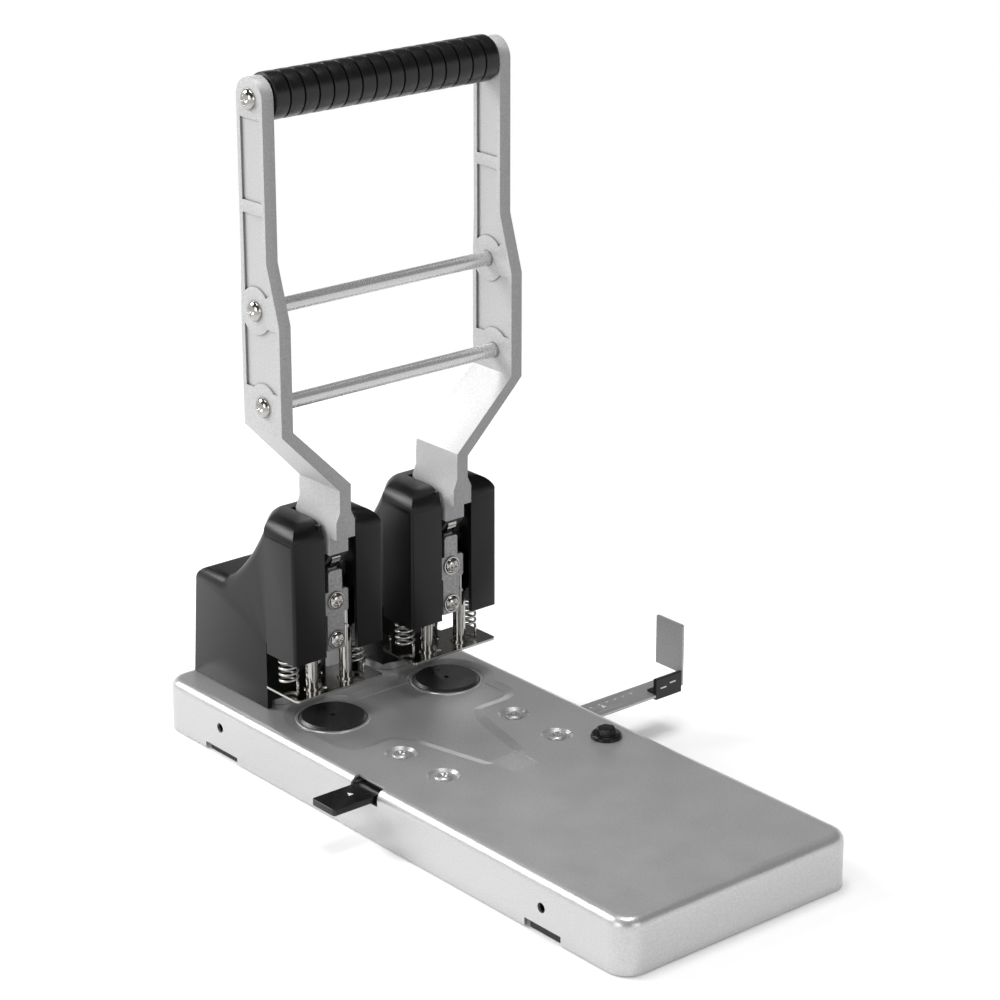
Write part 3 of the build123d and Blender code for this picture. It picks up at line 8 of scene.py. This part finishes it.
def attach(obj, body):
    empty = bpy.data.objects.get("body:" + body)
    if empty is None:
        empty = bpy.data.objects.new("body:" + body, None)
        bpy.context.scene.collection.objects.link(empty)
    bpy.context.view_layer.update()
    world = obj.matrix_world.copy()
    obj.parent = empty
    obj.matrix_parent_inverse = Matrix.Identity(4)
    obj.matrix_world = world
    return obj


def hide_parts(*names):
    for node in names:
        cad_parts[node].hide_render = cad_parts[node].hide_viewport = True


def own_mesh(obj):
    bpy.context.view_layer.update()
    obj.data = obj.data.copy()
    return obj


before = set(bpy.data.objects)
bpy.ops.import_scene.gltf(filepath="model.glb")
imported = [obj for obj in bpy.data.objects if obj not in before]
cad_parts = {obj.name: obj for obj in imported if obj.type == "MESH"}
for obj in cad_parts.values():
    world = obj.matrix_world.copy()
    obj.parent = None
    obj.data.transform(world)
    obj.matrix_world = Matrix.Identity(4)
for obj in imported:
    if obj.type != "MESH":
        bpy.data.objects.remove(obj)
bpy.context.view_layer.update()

# ---------------------------------------------------------------- base cover
# One sheet of steel, deep drawn into a shallow tray with soft edges. The recess, the feed channel and four
# screw dimples are pressed into its top. Sprayed with silver paint that has fine metal flakes in it.
silver_paint = (0.53, 0.53, 0.536, 1)
flake_size = 1 / 1400
cloud_size = 0.02
flake_depth = 0.00004


def new_finish(name, colour, metallic, roughness):
    """A material with one shader, whose plain numbers sit on the shader's own sockets."""
    material = bpy.data.materials.new(name)
    material.use_nodes = True
    shader = material.node_tree.nodes["Principled BSDF"]
    shader.inputs["Base Color"].default_value = colour
    shader.inputs["Metallic"].default_value = metallic
    shader.inputs["Roughness"].default_value = roughness
    return material, shader


def grain(material, size, stretch=(1, 1, 1), detail=2):
    """A noise in object space whose cells are size metres across, drawn out by stretch."""
    nodes, links = material.node_tree.nodes, material.node_tree.links
    place = nodes.new("ShaderNodeTexCoord")
    scale = nodes.new("ShaderNodeMapping")
    scale.inputs["Scale"].default_value = stretch
    noise = nodes.new("ShaderNodeTexNoise")
    noise.inputs["Scale"].default_value = 1 / size
    noise.inputs["Detail"].default_value = detail
    links.new(place.outputs["Object"], scale.inputs["Vector"])
    links.new(scale.outputs["Vector"], noise.inputs["Vector"])
    return noise


def spread(material, noise, low, high, edge=0.22):
    """Spreads a noise over the two values or colours low and high, with its middle range stretched."""
    nodes, links = material.node_tree.nodes, material.node_tree.links
    ramp = nodes.new("ShaderNodeValToRGB")
    ramp.color_ramp.elements[0].position = 0.5 - edge
    ramp.color_ramp.elements[1].position = 0.5 + edge
    for stop, tone in zip(ramp.color_ramp.elements, (low, high)):
        stop.color = tone if isinstance(tone, tuple) else (tone, tone, tone, 1)
    links.new(noise.outputs["Fac"], ramp.inputs["Fac"])
    return ramp.outputs["Color"]


def shade(colour, factor):
    return tuple(min(1, channel * factor) for channel in colour[:3]) + (1,)


def press_in(material, shader, noise, height):
    """Raises and lowers the surface by the noise, height metres at most."""
    nodes, links = material.node_tree.nodes, material.node_tree.links
    bump = nodes.new("ShaderNodeBump")
    bump.inputs["Strength"].default_value = 1
    bump.inputs["Distance"].default_value = height
    links.new(noise.outputs["Fac"], bump.inputs["Height"])
    links.new(bump.outputs["Normal"], shader.inputs["Normal"])


def dress(finish, *names):
    """Puts a finish on CAD nodes."""
    for name in names:
        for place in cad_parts[name].material_slots:
            place.material = finish


paint, paint_shader = new_finish("silver_flake_paint", silver_paint, 0.65, 0.32)
flakes = grain(paint, flake_size, detail=3)
paint.node_tree.links.new(
    spread(paint, flakes, shade(silver_paint, 0.86), shade(silver_paint, 1.12)),
    paint_shader.inputs["Base Color"],
)
clouds = grain(paint, cloud_size)
paint.node_tree.links.new(spread(paint, clouds, 0.28, 0.35), paint_shader.inputs["Roughness"])
press_in(paint, paint_shader, flakes, flake_depth)
dress(paint, "base_cover")

# ---------------------------------------------------------------- plates, channel and frames
# Thick plates of mild steel under the sheet and inside the heads, milled and oiled. They are seen only from
# below and through the gaps.
milled_grey = (0.36, 0.36, 0.365, 1)
milled, milled_shader = new_finish("milled_steel", milled_grey, 0.9, 0.42)
cuts = grain(milled, 0.0012, stretch=(0.08, 1, 1))
milled.node_tree.links.new(
    spread(milled, cuts, shade(milled_grey, 0.8), shade(milled_grey, 1.15)),
    milled_shader.inputs["Base Color"],
)
press_in(milled, milled_shader, cuts, 0.00003)
dress(milled, "bottom_plate", "bed_plate", "ruler_channel")
for side in ("left", "right"):
    dress(milled, f"head_frame_{side}", f"slide_block_{side}")

# ---------------------------------------------------------------- rubber feet
# Moulded blocks of black rubber that stand out of the notches of the skirt.
rubber_black = (0.018, 0.018, 0.019, 1)
foot_rubber, foot_shader = new_finish("foot_rubber", rubber_black, 0, 0.7)
pores = grain(foot_rubber, 0.0006, detail=4)
foot_rubber.node_tree.links.new(spread(foot_rubber, pores, 0.6, 0.8), foot_shader.inputs["Roughness"])
press_in(foot_rubber, foot_shader, pores, 0.00008)
dress(foot_rubber, "rubber_feet")

# ---------------------------------------------------------------- screws
# Cross head screws of steel with a strong dome. Those of the slide plates and arms are plated with bright
# nickel, two to a plate on washers and three to an arm. The ruler's channel has four with satin zinc.
nickel_tone = (0.4, 0.39, 0.37, 1)
satin_zinc = (0.42, 0.42, 0.42, 1)
dome_steps = 40
cross_wide = 0.0011
cross_deep = 0.0011
cross_edge = 0.00022
nickel, nickel_shader = new_finish("nickel_plate", nickel_tone, 1, 0.12)
polish = grain(nickel, 0.0016, detail=2)
nickel.node_tree.links.new(spread(nickel, polish, 0.08, 0.17), nickel_shader.inputs["Roughness"])


def domed_screws(name, spots, axis, head, shank, body, washer=0, finish=nickel):
    """Screws with seats at spots, along axis: head is radius and height, shank is radius and length."""
    shape = bmesh.new()
    turn = Vector(axis).to_track_quat("Z", "Y").to_matrix().to_4x4()
    for spot in spots:
        place = Matrix.Translation(spot) @ turn
        dome = bmesh.ops.create_grid(shape, x_segments=dome_steps, y_segments=dome_steps, size=1)["verts"]
        for vert in dome:
            across, up = vert.co.x, vert.co.y
            x = across * sqrt(1 - up * up / 2)
            y = up * sqrt(1 - across * across / 2)
            rim = min(1, sqrt(x * x + y * y))
            near = head[0] * min(abs(x), abs(y))
            far = head[0] * max(abs(x), abs(y))
            sunk = min(1, max(0, (cross_wide / 2 + cross_edge - near) / (2 * cross_edge)))
            sunk *= min(1, max(0, (head[0] * 0.56 - far) / (3 * cross_edge)))
            rise = head[1] * (1 - rim**2.4) ** 0.5 - sunk * cross_deep
            vert.co = place @ Vector((x * head[0], y * head[0], rise))
        bmesh.ops.create_cone(
            shape,
            cap_ends=True,
            segments=24,
            radius1=shank[0],
            radius2=shank[0],
            depth=shank[1],
            matrix=place @ Matrix.Translation((0, 0, -shank[1] / 2)),
        )
        if washer:
            bmesh.ops.create_cone(
                shape,
                cap_ends=True,
                segments=48,
                radius1=head[0] + washer,
                radius2=head[0] + washer * 0.7,
                depth=washer,
                matrix=place @ Matrix.Translation((0, 0, washer / 2)),
            )
    for face in shape.faces:
        face.smooth = len(face.verts) < 5
    mesh = bpy.data.meshes.new(f"{name}_domed")
    shape.to_mesh(mesh)
    shape.free()
    mesh.materials.append(finish)
    piece = bpy.data.objects.new(f"{name}_domed", mesh)
    bpy.context.scene.collection.objects.link(piece)
    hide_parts(name)
    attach(piece, body)


heads = ("left", "right")
zinc, zinc_shader = new_finish("satin_zinc", satin_zinc, 0.7, 0.36)
zinc_bloom = grain(zinc, 0.0012, detail=4)
zinc.node_tree.links.new(
    spread(zinc, zinc_bloom, shade(satin_zinc, 0.8), shade(satin_zinc, 1.2)),
    zinc_shader.inputs["Base Color"],
)
domed_screws(
    "channel_screws",
    [(x, y, 0.0294) for x in (-0.0395, 0.0395) for y in (-0.074, -0.1097)],
    (0, 0, 1),
    (0.005, 0.0017),
    (0.0025, 0.0055),
    "base",
    finish=zinc,
)
for side, x in zip(heads, (-0.04, 0.04)):
    domed_screws(
        f"slide_screws_{side}",
        [(x, -0.0198, z) for z in (0.079, 0.1015)],
        (0, -1, 0),
        (0.0046, 0.003),
        (0.0018, 0.0084),
        f"slide_{side}",
        washer=0.0008,
    )
for side, x in zip(heads, (-0.0812, 0.0812)):
    domed_screws(
        f"arm_screws_{side}",
        [(x, -0.0105, 0.3794), (x, -0.0109, 0.2692), (x, -0.016, 0.2184)],
        (x, 0, 0),
        (0.0055, 0.0032),
        (0.0025, 0.018),
        "handle",
    )

# ---------------------------------------------------------------- bolts, axles, pins and punches
# Turned and ground steel with the same nickel plate.
dress(nickel, "bottom_screws", "frame_bolts", "hub_spacers")
for side in heads:
    dress(
        nickel,
        f"axle_{side}",
        f"hollow_punch_{side}",
        f"pressure_plate_{side}",
        f"plate_pins_{side}",
        f"press_roller_{side}",
    )

# ---------------------------------------------------------------- springs and retaining rings
# Drawn spring wire, lightly oiled, with fine lines from the die. The springs of the pressure plates stand on
# their plate and move with it at one length; the real ones get shorter as it is pushed up towards the slide.
wire_tone = (0.5, 0.49, 0.47, 1)
wire, wire_shader = new_finish("spring_wire", wire_tone, 1, 0.28)
draw_lines = grain(wire, 0.0005, detail=2)
wire.node_tree.links.new(
    spread(wire, draw_lines, shade(wire_tone, 0.8), shade(wire_tone, 1.15)),
    wire_shader.inputs["Base Color"],
)
dress(wire, "axle_clips")
for side in heads:
    dress(wire, f"return_spring_{side}")
    coils = bmesh.new()
    coils.from_mesh(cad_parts[f"plate_springs_{side}"].data)
    bmesh.ops.remove_doubles(coils, verts=coils.verts, dist=1e-6)
    for face in coils.faces:
        face.smooth = True
    for edge in coils.edges:
        edge.smooth = edge.calc_face_angle(0) < radians(40)
    coil_mesh = bpy.data.meshes.new(f"plate_coils_{side}")
    coils.to_mesh(coil_mesh)
    coils.free()
    for face in coil_mesh.polygons:
        face.material_index = 0
    coil_mesh.materials.append(wire)
    coil_piece = bpy.data.objects.new(f"plate_coils_{side}", coil_mesh)
    bpy.context.scene.collection.objects.link(coil_piece)
    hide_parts(f"plate_springs_{side}")
    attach(coil_piece, f"plate_{side}")
    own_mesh(coil_piece)

# ---------------------------------------------------------------- cutting discs
# Turned from black plastic rod, which leaves rings on the face and shows small light specks of filler.
disc_black = (0.012, 0.012, 0.0125, 1)
disc_finish, disc_shader = new_finish("disc_plastic", disc_black, 0.05, 0.3)
specks = grain(disc_finish, 0.0009, detail=5)
disc_finish.node_tree.links.new(
    spread(disc_finish, specks, shade(disc_black, 0.7), shade(disc_black, 2.6), edge=0.14),
    disc_shader.inputs["Base Color"],
)
disc_shader.inputs["Anisotropic"].default_value = 0.8
rings = disc_finish.node_tree.nodes.new("ShaderNodeTangent")
rings.direction_type = "RADIAL"
rings.axis = "Z"
disc_finish.node_tree.links.new(rings.outputs["Tangent"], disc_shader.inputs["Tangent"])
press_in(disc_finish, disc_shader, specks, 0.00004)
for side in heads:
    dress(disc_finish, f"cutting_disc_{side}")

# ---------------------------------------------------------------- head covers
# Moulded in black plastic with a fine spark eroded texture, which spreads the light into soft highlights.
moulded_black = (0.004, 0.004, 0.0042, 1)


def softened(name, finish, body, radius):
    """A copy of a CAD node with its loose triangles joined and its sharp edges rounded, in its place."""
    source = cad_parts[name]
    shape = bmesh.new()
    shape.from_mesh(source.data)
    bmesh.ops.remove_doubles(shape, verts=shape.verts, dist=1e-6)
    bmesh.ops.dissolve_limit(
        shape, angle_limit=radians(0.6), verts=shape.verts, edges=shape.edges, delimit=set()
    )
    mesh = bpy.data.meshes.new(f"{name}_skin")
    shape.to_mesh(mesh)
    shape.free()
    for face in mesh.polygons:
        face.use_smooth = True
        face.material_index = 0
    mesh.materials.append(finish)
    piece = bpy.data.objects.new(f"{name}_skin", mesh)
    bpy.context.scene.collection.objects.link(piece)
    round_off = piece.modifiers.new("rounded edges", "BEVEL")
    round_off.width = radius
    round_off.segments = 3
    round_off.limit_method = "ANGLE"
    round_off.angle_limit = radians(28)
    round_off.harden_normals = True
    round_off.miter_outer = "MITER_ARC"
    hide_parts(name)
    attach(piece, body)
    return piece


moulded, moulded_shader = new_finish("moulded_black", moulded_black, 0, 0.34)
moulded_shader.inputs["Specular IOR Level"].default_value = 0.25
texture = grain(moulded, 0.0005, detail=4)
moulded.node_tree.links.new(
    spread(moulded, texture, shade(moulded_black, 0.8), shade(moulded_black, 1.35)),
    moulded_shader.inputs["Base Color"],
)
moulded.node_tree.links.new(spread(moulded, texture, 0.3, 0.38), moulded_shader.inputs["Roughness"])
press_in(moulded, moulded_shader, texture, 0.00004)
for side in heads:
    softened(f"head_cover_{side}", moulded, "base", 0.0005)

# ---------------------------------------------------------------- ruler, its cap, stop block and side stop
# A steel strip with a satin face. Black moulded ends are pushed over it, and the stop is bent sheet.
satin_grey = (0.4, 0.4, 0.403, 1)
satin, satin_shader = new_finish("satin_steel", satin_grey, 0.6, 0.36)
brush = grain(satin, 0.0009, stretch=(0.05, 1, 1))
satin.node_tree.links.new(
    spread(satin, brush, shade(satin_grey, 0.85), shade(satin_grey, 1.15)),
    satin_shader.inputs["Base Color"],
)
dress(satin, "guide_ruler", "side_stop")
glossy_black = (0.007, 0.007, 0.0072, 1)
glossy, glossy_shader = new_finish("glossy_black", glossy_black, 0, 0.2)
glossy_shader.inputs["Specular IOR Level"].default_value = 0.36
ripple = grain(glossy, 0.004)
glossy.node_tree.links.new(spread(glossy, ripple, 0.16, 0.26), glossy_shader.inputs["Roughness"])
dress(glossy, "ruler_stop_block")
softened("ruler_cap", glossy, "guide", 0.0004)
softened("lock_knob", glossy, "knob", 0.0004)

# ---------------------------------------------------------------- marks of the guide
# Small white marks, pad printed: a pointer and short dashes on the ruler, a pointer on the cap and two short
# dashes on the stop block.
print_white = (0.8, 0.8, 0.79, 1)
print_thick = 0.00003
ruler_face = 0.0266
printed, printed_shader = new_finish("white_print", print_white, 0, 0.5)
speckle = grain(printed, 0.0004, detail=4)
printed.node_tree.links.new(
    spread(printed, speckle, shade(print_white, 0.6), print_white, edge=0.1),
    printed_shader.inputs["Base Color"],
)


def printed_marks(name, outlines):
    """Thin flat marks, each a list of corners on the printed face."""
    shape = bmesh.new()
    for corners in outlines:
        shape.faces.new([shape.verts.new(corner) for corner in corners])
    bmesh.ops.recalc_face_normals(shape, faces=shape.faces)
    mesh = bpy.data.meshes.new(name)
    shape.to_mesh(mesh)
    shape.free()
    mesh.materials.append(printed)
    piece = bpy.data.objects.new(name, mesh)
    bpy.context.scene.collection.objects.link(piece)
    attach(piece, "guide")


def flat_mark(x, y, z, corners):
    return [(x + right, y + back, z) for right, back in corners]


pointer = ((-0.0016, -0.0014), (0.0016, -0.0014), (0, 0.002))
dash = ((-0.0009, -0.0004), (0.0009, -0.0004), (0.0009, 0.0004), (-0.0009, 0.0004))
printed_marks(
    "ruler_marks",
    [flat_mark(0.0895, -0.0915, ruler_face + print_thick, pointer)]
    + [flat_mark(0.083 + 0.006 * step, -0.0885, ruler_face + print_thick, dash) for step in range(6)],
)
printed_marks("cap_mark", [flat_mark(-0.0865, -0.0905, ruler_face + 0.0007 + print_thick, pointer)])
stop_front = -0.09955 - print_thick
printed_marks(
    "stop_marks",
    [
        [(x - 0.0022, stop_front, z), (x + 0.0022, stop_front, z), (x + 0.0022, stop_front, z + 0.0009),
         (x - 0.0022, stop_front, z + 0.0009)]
        for x, z in ((0.1275, 0.0295), (0.1345, 0.031))
    ],
)

# ---------------------------------------------------------------- slide plates
# Flat steel plates screwed to the slides, ground and left grey.
ground_grey = (0.27, 0.27, 0.272, 1)
slide_finish, slide_shader = new_finish("ground_steel", ground_grey, 0.6, 0.4)
mottle = grain(slide_finish, 0.0015, detail=4)
slide_finish.node_tree.links.new(
    spread(slide_finish, mottle, shade(ground_grey, 0.75), shade(ground_grey, 1.3)),
    slide_shader.inputs["Base Color"],
)
for side in heads:
    dress(slide_finish, f"slide_plate_{side}")

# ---------------------------------------------------------------- lever arms
# Die cast aluminium, blasted to an even silver skin, with pockets that make the limbs lighter. Faces turned
# to the front get painted shade, corners and pocket edges get painted shade, and below the block the arm is
# painted black as shadow.
cast_silver = (0.5, 0.5, 0.505, 1)
# The black below is a painted shadow: under the given height the arm's colour turns black where the hub goes
# into the head.
painted_shadow_black = (0.03, 0.03, 0.03, 1)
painted_shadow_top = 0.1298     # height of the end of the silver skin
# Level of the painted shade on faces turned to the front.
front_shade_level = 0.6
# Reach and depth of the painted shade in corners and pocket edges.
corner_shade_reach = 0.0016
corner_shade_darkest = 0.3
cast, cast_shader = new_finish("cast_aluminium", cast_silver, 0.2, 0.45)
skin = grain(cast, 0.0007, detail=3)
# Painted shadow: below the foot of the block the colour turns black.
where = cast.node_tree.nodes.new("ShaderNodeTexCoord")
height = cast.node_tree.nodes.new("ShaderNodeSeparateXYZ")
above = cast.node_tree.nodes.new("ShaderNodeMath")
above.operation = "GREATER_THAN"
above.inputs[1].default_value = painted_shadow_top
skin_or_painted_shadow = cast.node_tree.nodes.new("ShaderNodeMix")
skin_or_painted_shadow.data_type = "RGBA"
skin_or_painted_shadow.inputs["A"].default_value = painted_shadow_black
cast.node_tree.links.new(where.outputs["Object"], height.inputs["Vector"])
cast.node_tree.links.new(height.outputs["Z"], above.inputs[0])
cast.node_tree.links.new(above.outputs[0], skin_or_painted_shadow.inputs["Factor"])
# Painted shade: faces turned to the front, with object normal Y below -0.8, are darkened to this level.
facing = cast.node_tree.nodes.new("ShaderNodeSeparateXYZ")
front_face_shade = cast.node_tree.nodes.new("ShaderNodeMapRange")
front_face_shade.inputs["From Min"].default_value = -0.97
front_face_shade.inputs["From Max"].default_value = -0.8
front_face_shade.inputs["To Min"].default_value = front_shade_level
# Painted shade: the occlusion node darkens the corners and pocket edges.
painted_corner_shade = cast.node_tree.nodes.new("ShaderNodeAmbientOcclusion")
painted_corner_shade.inputs["Distance"].default_value = corner_shade_reach
corner_shade_depth = cast.node_tree.nodes.new("ShaderNodeMapRange")
corner_shade_depth.inputs["From Min"].default_value = 0.4
corner_shade_depth.inputs["From Max"].default_value = 0.9
corner_shade_depth.inputs["To Min"].default_value = corner_shade_darkest
both = cast.node_tree.nodes.new("ShaderNodeMath")
both.operation = "MULTIPLY"
toned = cast.node_tree.nodes.new("ShaderNodeVectorMath")
toned.operation = "SCALE"
cast.node_tree.links.new(where.outputs["Normal"], facing.inputs["Vector"])
cast.node_tree.links.new(facing.outputs["Y"], front_face_shade.inputs["Value"])
cast.node_tree.links.new(painted_corner_shade.outputs["AO"], corner_shade_depth.inputs["Value"])
cast.node_tree.links.new(front_face_shade.outputs["Result"], both.inputs[0])
cast.node_tree.links.new(corner_shade_depth.outputs["Result"], both.inputs[1])
cast.node_tree.links.new(
    spread(cast, skin, shade(cast_silver, 0.8), shade(cast_silver, 1.12)), toned.inputs[0]
)
cast.node_tree.links.new(both.outputs[0], toned.inputs["Scale"])
cast.node_tree.links.new(toned.outputs[0], skin_or_painted_shadow.inputs["B"])
cast.node_tree.links.new(skin_or_painted_shadow.outputs["Result"], cast_shader.inputs["Base Color"])
press_in(cast, cast_shader, skin, 0.00005)
for side in heads:
    softened(f"lever_arm_{side}", cast, "handle", 0.0006)

# ---------------------------------------------------------------- cross rods and grip bar
# Ground and chromed round bar.
chrome_tone = (0.6, 0.6, 0.605, 1)
chrome, chrome_shader = new_finish("chrome_bar", chrome_tone, 0.6, 0.26)
ground = grain(chrome, 0.0012, stretch=(1, 0.3, 0.3))
chrome.node_tree.links.new(spread(chrome, ground, 0.22, 0.3), chrome_shader.inputs["Roughness"])
dress(chrome, "upper_cross_rod", "lower_cross_rod", "grip_bar")

# ---------------------------------------------------------------- grip
# Moulded rubber sleeve, pushed over its bar: sixteen flat ribs parted by narrow grooves, a little shiny from
# hands.
grip_black = (0.005, 0.005, 0.0052, 1)
grip_axis = (0, -0.0105, 0.3794)
grip_half = 0.0727
grip_radius = 0.0125
grip_bore = 0.0062
rib_count = 16
groove_half = 0.0005
groove_deep = 0.0018
rib_crown = 0.00012
grip_rubber, grip_shader = new_finish("grip_rubber", grip_black, 0, 0.3)
grip_shader.inputs["Specular IOR Level"].default_value = 0.4
wear = grain(grip_rubber, 0.003, detail=5)
grip_rubber.node_tree.links.new(spread(grip_rubber, wear, 0.24, 0.36), grip_shader.inputs["Roughness"])
press_in(grip_rubber, grip_shader, wear, 0.00004)
rib_pitch = 2 * grip_half / rib_count
profile = [(-grip_half, grip_bore), (-grip_half, grip_radius - groove_deep)]
for number in range(rib_count):
    start = -grip_half + number * rib_pitch
    profile += [
        (start + groove_half, grip_radius - rib_crown - 0.00025),
        (start + groove_half + 0.0003, grip_radius - rib_crown),
        (start + rib_pitch * 0.3, grip_radius - 0.00003),
        (start + rib_pitch * 0.5, grip_radius),
        (start + rib_pitch * 0.7, grip_radius - 0.00003),
        (start + rib_pitch - groove_half - 0.0003, grip_radius - rib_crown),
        (start + rib_pitch - groove_half, grip_radius - rib_crown - 0.00025),
        (start + rib_pitch, grip_radius - groove_deep),
    ]
profile += [(grip_half, grip_bore)]
sleeve = bmesh.new()
ring_verts = [sleeve.verts.new((x, grip_axis[1], grip_axis[2] + radius)) for x, radius in profile]
ring_edges = [sleeve.edges.new(pair) for pair in zip(ring_verts, ring_verts[1:] + ring_verts[:1])]
bmesh.ops.spin(
    sleeve,
    geom=ring_verts + ring_edges,
    axis=(1, 0, 0),
    cent=grip_axis,
    angle=2 * pi,
    steps=72,
    use_merge=True,
)
bmesh.ops.remove_doubles(sleeve, verts=sleeve.verts, dist=1e-6)
bmesh.ops.recalc_face_normals(sleeve, faces=sleeve.faces)
for face in sleeve.faces:
    face.smooth = True
for edge in sleeve.edges:
    if edge.calc_face_angle(0) > radians(18):
        edge.smooth = False
grip_mesh = bpy.data.meshes.new("grip_sleeve")
sleeve.to_mesh(grip_mesh)
sleeve.free()
grip_mesh.materials.append(grip_rubber)
grip_sleeve = bpy.data.objects.new("grip_sleeve", grip_mesh)
bpy.context.scene.collection.objects.link(grip_sleeve)
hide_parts("grip")
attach(grip_sleeve, "handle")

# ---------------------------------------------------------------- floor
# A plain pale table, which takes the machine's soft shadow.
floor_white = (0.87, 0.87, 0.87, 1)
floor_reach = 6.0
floor_shape = bmesh.new()
bmesh.ops.create_grid(floor_shape, x_segments=1, y_segments=1, size=floor_reach)
floor_mesh = bpy.data.meshes.new("floor")
floor_shape.to_mesh(floor_mesh)
floor_shape.free()
floor = bpy.data.objects.new("floor", floor_mesh)
bpy.context.scene.collection.objects.link(floor)
floor_finish, floor_shader = new_finish("floor_white", floor_white, 0, 0.9)
floor_nodes, floor_links = floor_finish.node_tree.nodes, floor_finish.node_tree.links
floor_lift = 0.12       # added for what looks at the floor, so that it is white beside the shadow
fade_near, fade_far = 0.3, 0.9


def seen_rays(nodes, links):
    """One for rays from the camera and for reflected and transmitted ones, zero for light."""
    paths = nodes.new("ShaderNodeLightPath")
    glossy_too = nodes.new("ShaderNodeMath")
    glossy_too.operation = "MAXIMUM"
    all_three = nodes.new("ShaderNodeMath")
    all_three.operation = "MAXIMUM"
    links.new(paths.outputs["Is Camera Ray"], glossy_too.inputs[0])
    links.new(paths.outputs["Is Glossy Ray"], glossy_too.inputs[1])
    links.new(glossy_too.outputs[0], all_three.inputs[0])
    links.new(paths.outputs["Is Transmission Ray"], all_three.inputs[1])
    return all_three.outputs[0]


looked_at = seen_rays(floor_nodes, floor_links)
lift = floor_nodes.new("ShaderNodeMath")
lift.operation = "MULTIPLY"
lift.inputs[1].default_value = floor_lift
floor_links.new(looked_at, lift.inputs[0])
floor_shader.inputs["Emission Color"].default_value = (1, 1, 1, 1)
floor_links.new(lift.outputs[0], floor_shader.inputs["Emission Strength"])
spot = floor_nodes.new("ShaderNodeTexCoord")
away = floor_nodes.new("ShaderNodeVectorMath")
away.operation = "LENGTH"
fade = floor_nodes.new("ShaderNodeMapRange")
fade.interpolation_type = "SMOOTHSTEP"
fade.inputs["From Min"].default_value = fade_near
fade.inputs["From Max"].default_value = fade_far
white_out = floor_nodes.new("ShaderNodeMath")
white_out.operation = "MULTIPLY"
pure_white = floor_nodes.new("ShaderNodeEmission")
pure_white.inputs["Color"].default_value = (1, 1, 1, 1)
floor_mix = floor_nodes.new("ShaderNodeMixShader")
floor_links.new(spot.outputs["Object"], away.inputs[0])
floor_links.new(away.outputs["Value"], fade.inputs["Value"])
floor_links.new(fade.outputs["Result"], white_out.inputs[0])
floor_links.new(looked_at, white_out.inputs[1])
floor_links.new(white_out.outputs[0], floor_mix.inputs["Fac"])
floor_links.new(floor_shader.outputs[0], floor_mix.inputs[1])
floor_links.new(pure_white.outputs[0], floor_mix.inputs[2])
floor_links.new(floor_mix.outputs[0], floor_nodes["Material Output"].inputs["Surface"])
floor_mesh.materials.append(floor_finish)

# ---------------------------------------------------------------- studio
# An even room whose walls are seen as white below a dark ceiling. The strongest lamp stands behind at the
# left, with others at the left, above and in front.
room_level = 0.36
ceiling_level = 0.1
wall_top, ceiling_start = 0.18, 0.36      # sine of the height above the horizon
world = bpy.data.worlds.new("studio")
bpy.context.scene.world = world
world.use_nodes = True
sky_nodes, sky_links = world.node_tree.nodes, world.node_tree.links
sky_nodes.clear()
out = sky_nodes.new("ShaderNodeOutputWorld")
blend_rays = sky_nodes.new("ShaderNodeMixShader")
lit = sky_nodes.new("ShaderNodeBackground")
lit.inputs["Color"].default_value = (1, 1, 1, 1)
lit.inputs["Strength"].default_value = room_level
seen = sky_nodes.new("ShaderNodeBackground")
seen.inputs["Color"].default_value = (1, 1, 1, 1)
outlook = sky_nodes.new("ShaderNodeTexCoord")
outlook_parts = sky_nodes.new("ShaderNodeSeparateXYZ")
wall_and_ceiling = sky_nodes.new("ShaderNodeMapRange")
wall_and_ceiling.interpolation_type = "SMOOTHSTEP"
wall_and_ceiling.inputs["From Min"].default_value = wall_top
wall_and_ceiling.inputs["From Max"].default_value = ceiling_start
wall_and_ceiling.inputs["To Min"].default_value = 1
wall_and_ceiling.inputs["To Max"].default_value = ceiling_level
sky_links.new(outlook.outputs["Generated"], outlook_parts.inputs["Vector"])
sky_links.new(outlook_parts.outputs["Z"], wall_and_ceiling.inputs["Value"])
sky_links.new(wall_and_ceiling.outputs["Result"], seen.inputs["Strength"])
sky_links.new(seen_rays(sky_nodes, sky_links), blend_rays.inputs["Fac"])
sky_links.new(lit.outputs[0], blend_rays.inputs[1])
sky_links.new(seen.outputs[0], blend_rays.inputs[2])
sky_links.new(blend_rays.outputs[0], out.inputs["Surface"])


def lamp(name, spot, aim, size, watts):
    """A square soft box at spot that shines at aim."""
    light = bpy.data.lights.new(name, "AREA")
    light.shape = "SQUARE"
    light.size = size
    light.energy = watts
    holder = bpy.data.objects.new(name, light)
    bpy.context.scene.collection.objects.link(holder)
    holder.location = spot
    holder.rotation_euler = (Vector(aim) - Vector(spot)).to_track_quat("-Z", "Y").to_euler()
    return holder


machine_middle = (0, -0.08, 0.12)
lamp("rear_key", (-0.9, 1.3, 1.25), machine_middle, 0.9, 32)
lamp("left_soft_box", (-1.7, -0.35, 0.8), machine_middle, 0.9, 8.5)
lamp("overhead_box", (0.1, -0.1, 1.9), machine_middle, 0.8, 19)
lamp("front_fill", (0.1, -2.2, 0.9), machine_middle, 1.0, 7)

# ---------------------------------------------------------------- camera
# It looks along the direction of the photograph, from the user's left and a little above.
view_azimuth = radians(40.13)       # from the machine's depth towards its right
view_pitch = radians(-20.27)
film_width = 36.0
focal_length = 109.75
camera_data = bpy.data.cameras.new("camera")
camera_data.sensor_width = film_width
camera_data.lens = focal_length
camera = bpy.data.objects.new("camera", camera_data)
bpy.context.scene.collection.objects.link(camera)
camera.location = (-0.94949, -1.23534, 0.71868)
sight = Vector(
    (sin(view_azimuth) * cos(view_pitch), cos(view_azimuth) * cos(view_pitch), sin(view_pitch))
)
camera.rotation_euler = sight.to_track_quat("-Z", "Y").to_euler()
bpy.context.scene.camera = camera
bpy.context.scene.view_settings.view_transform = "Standard"
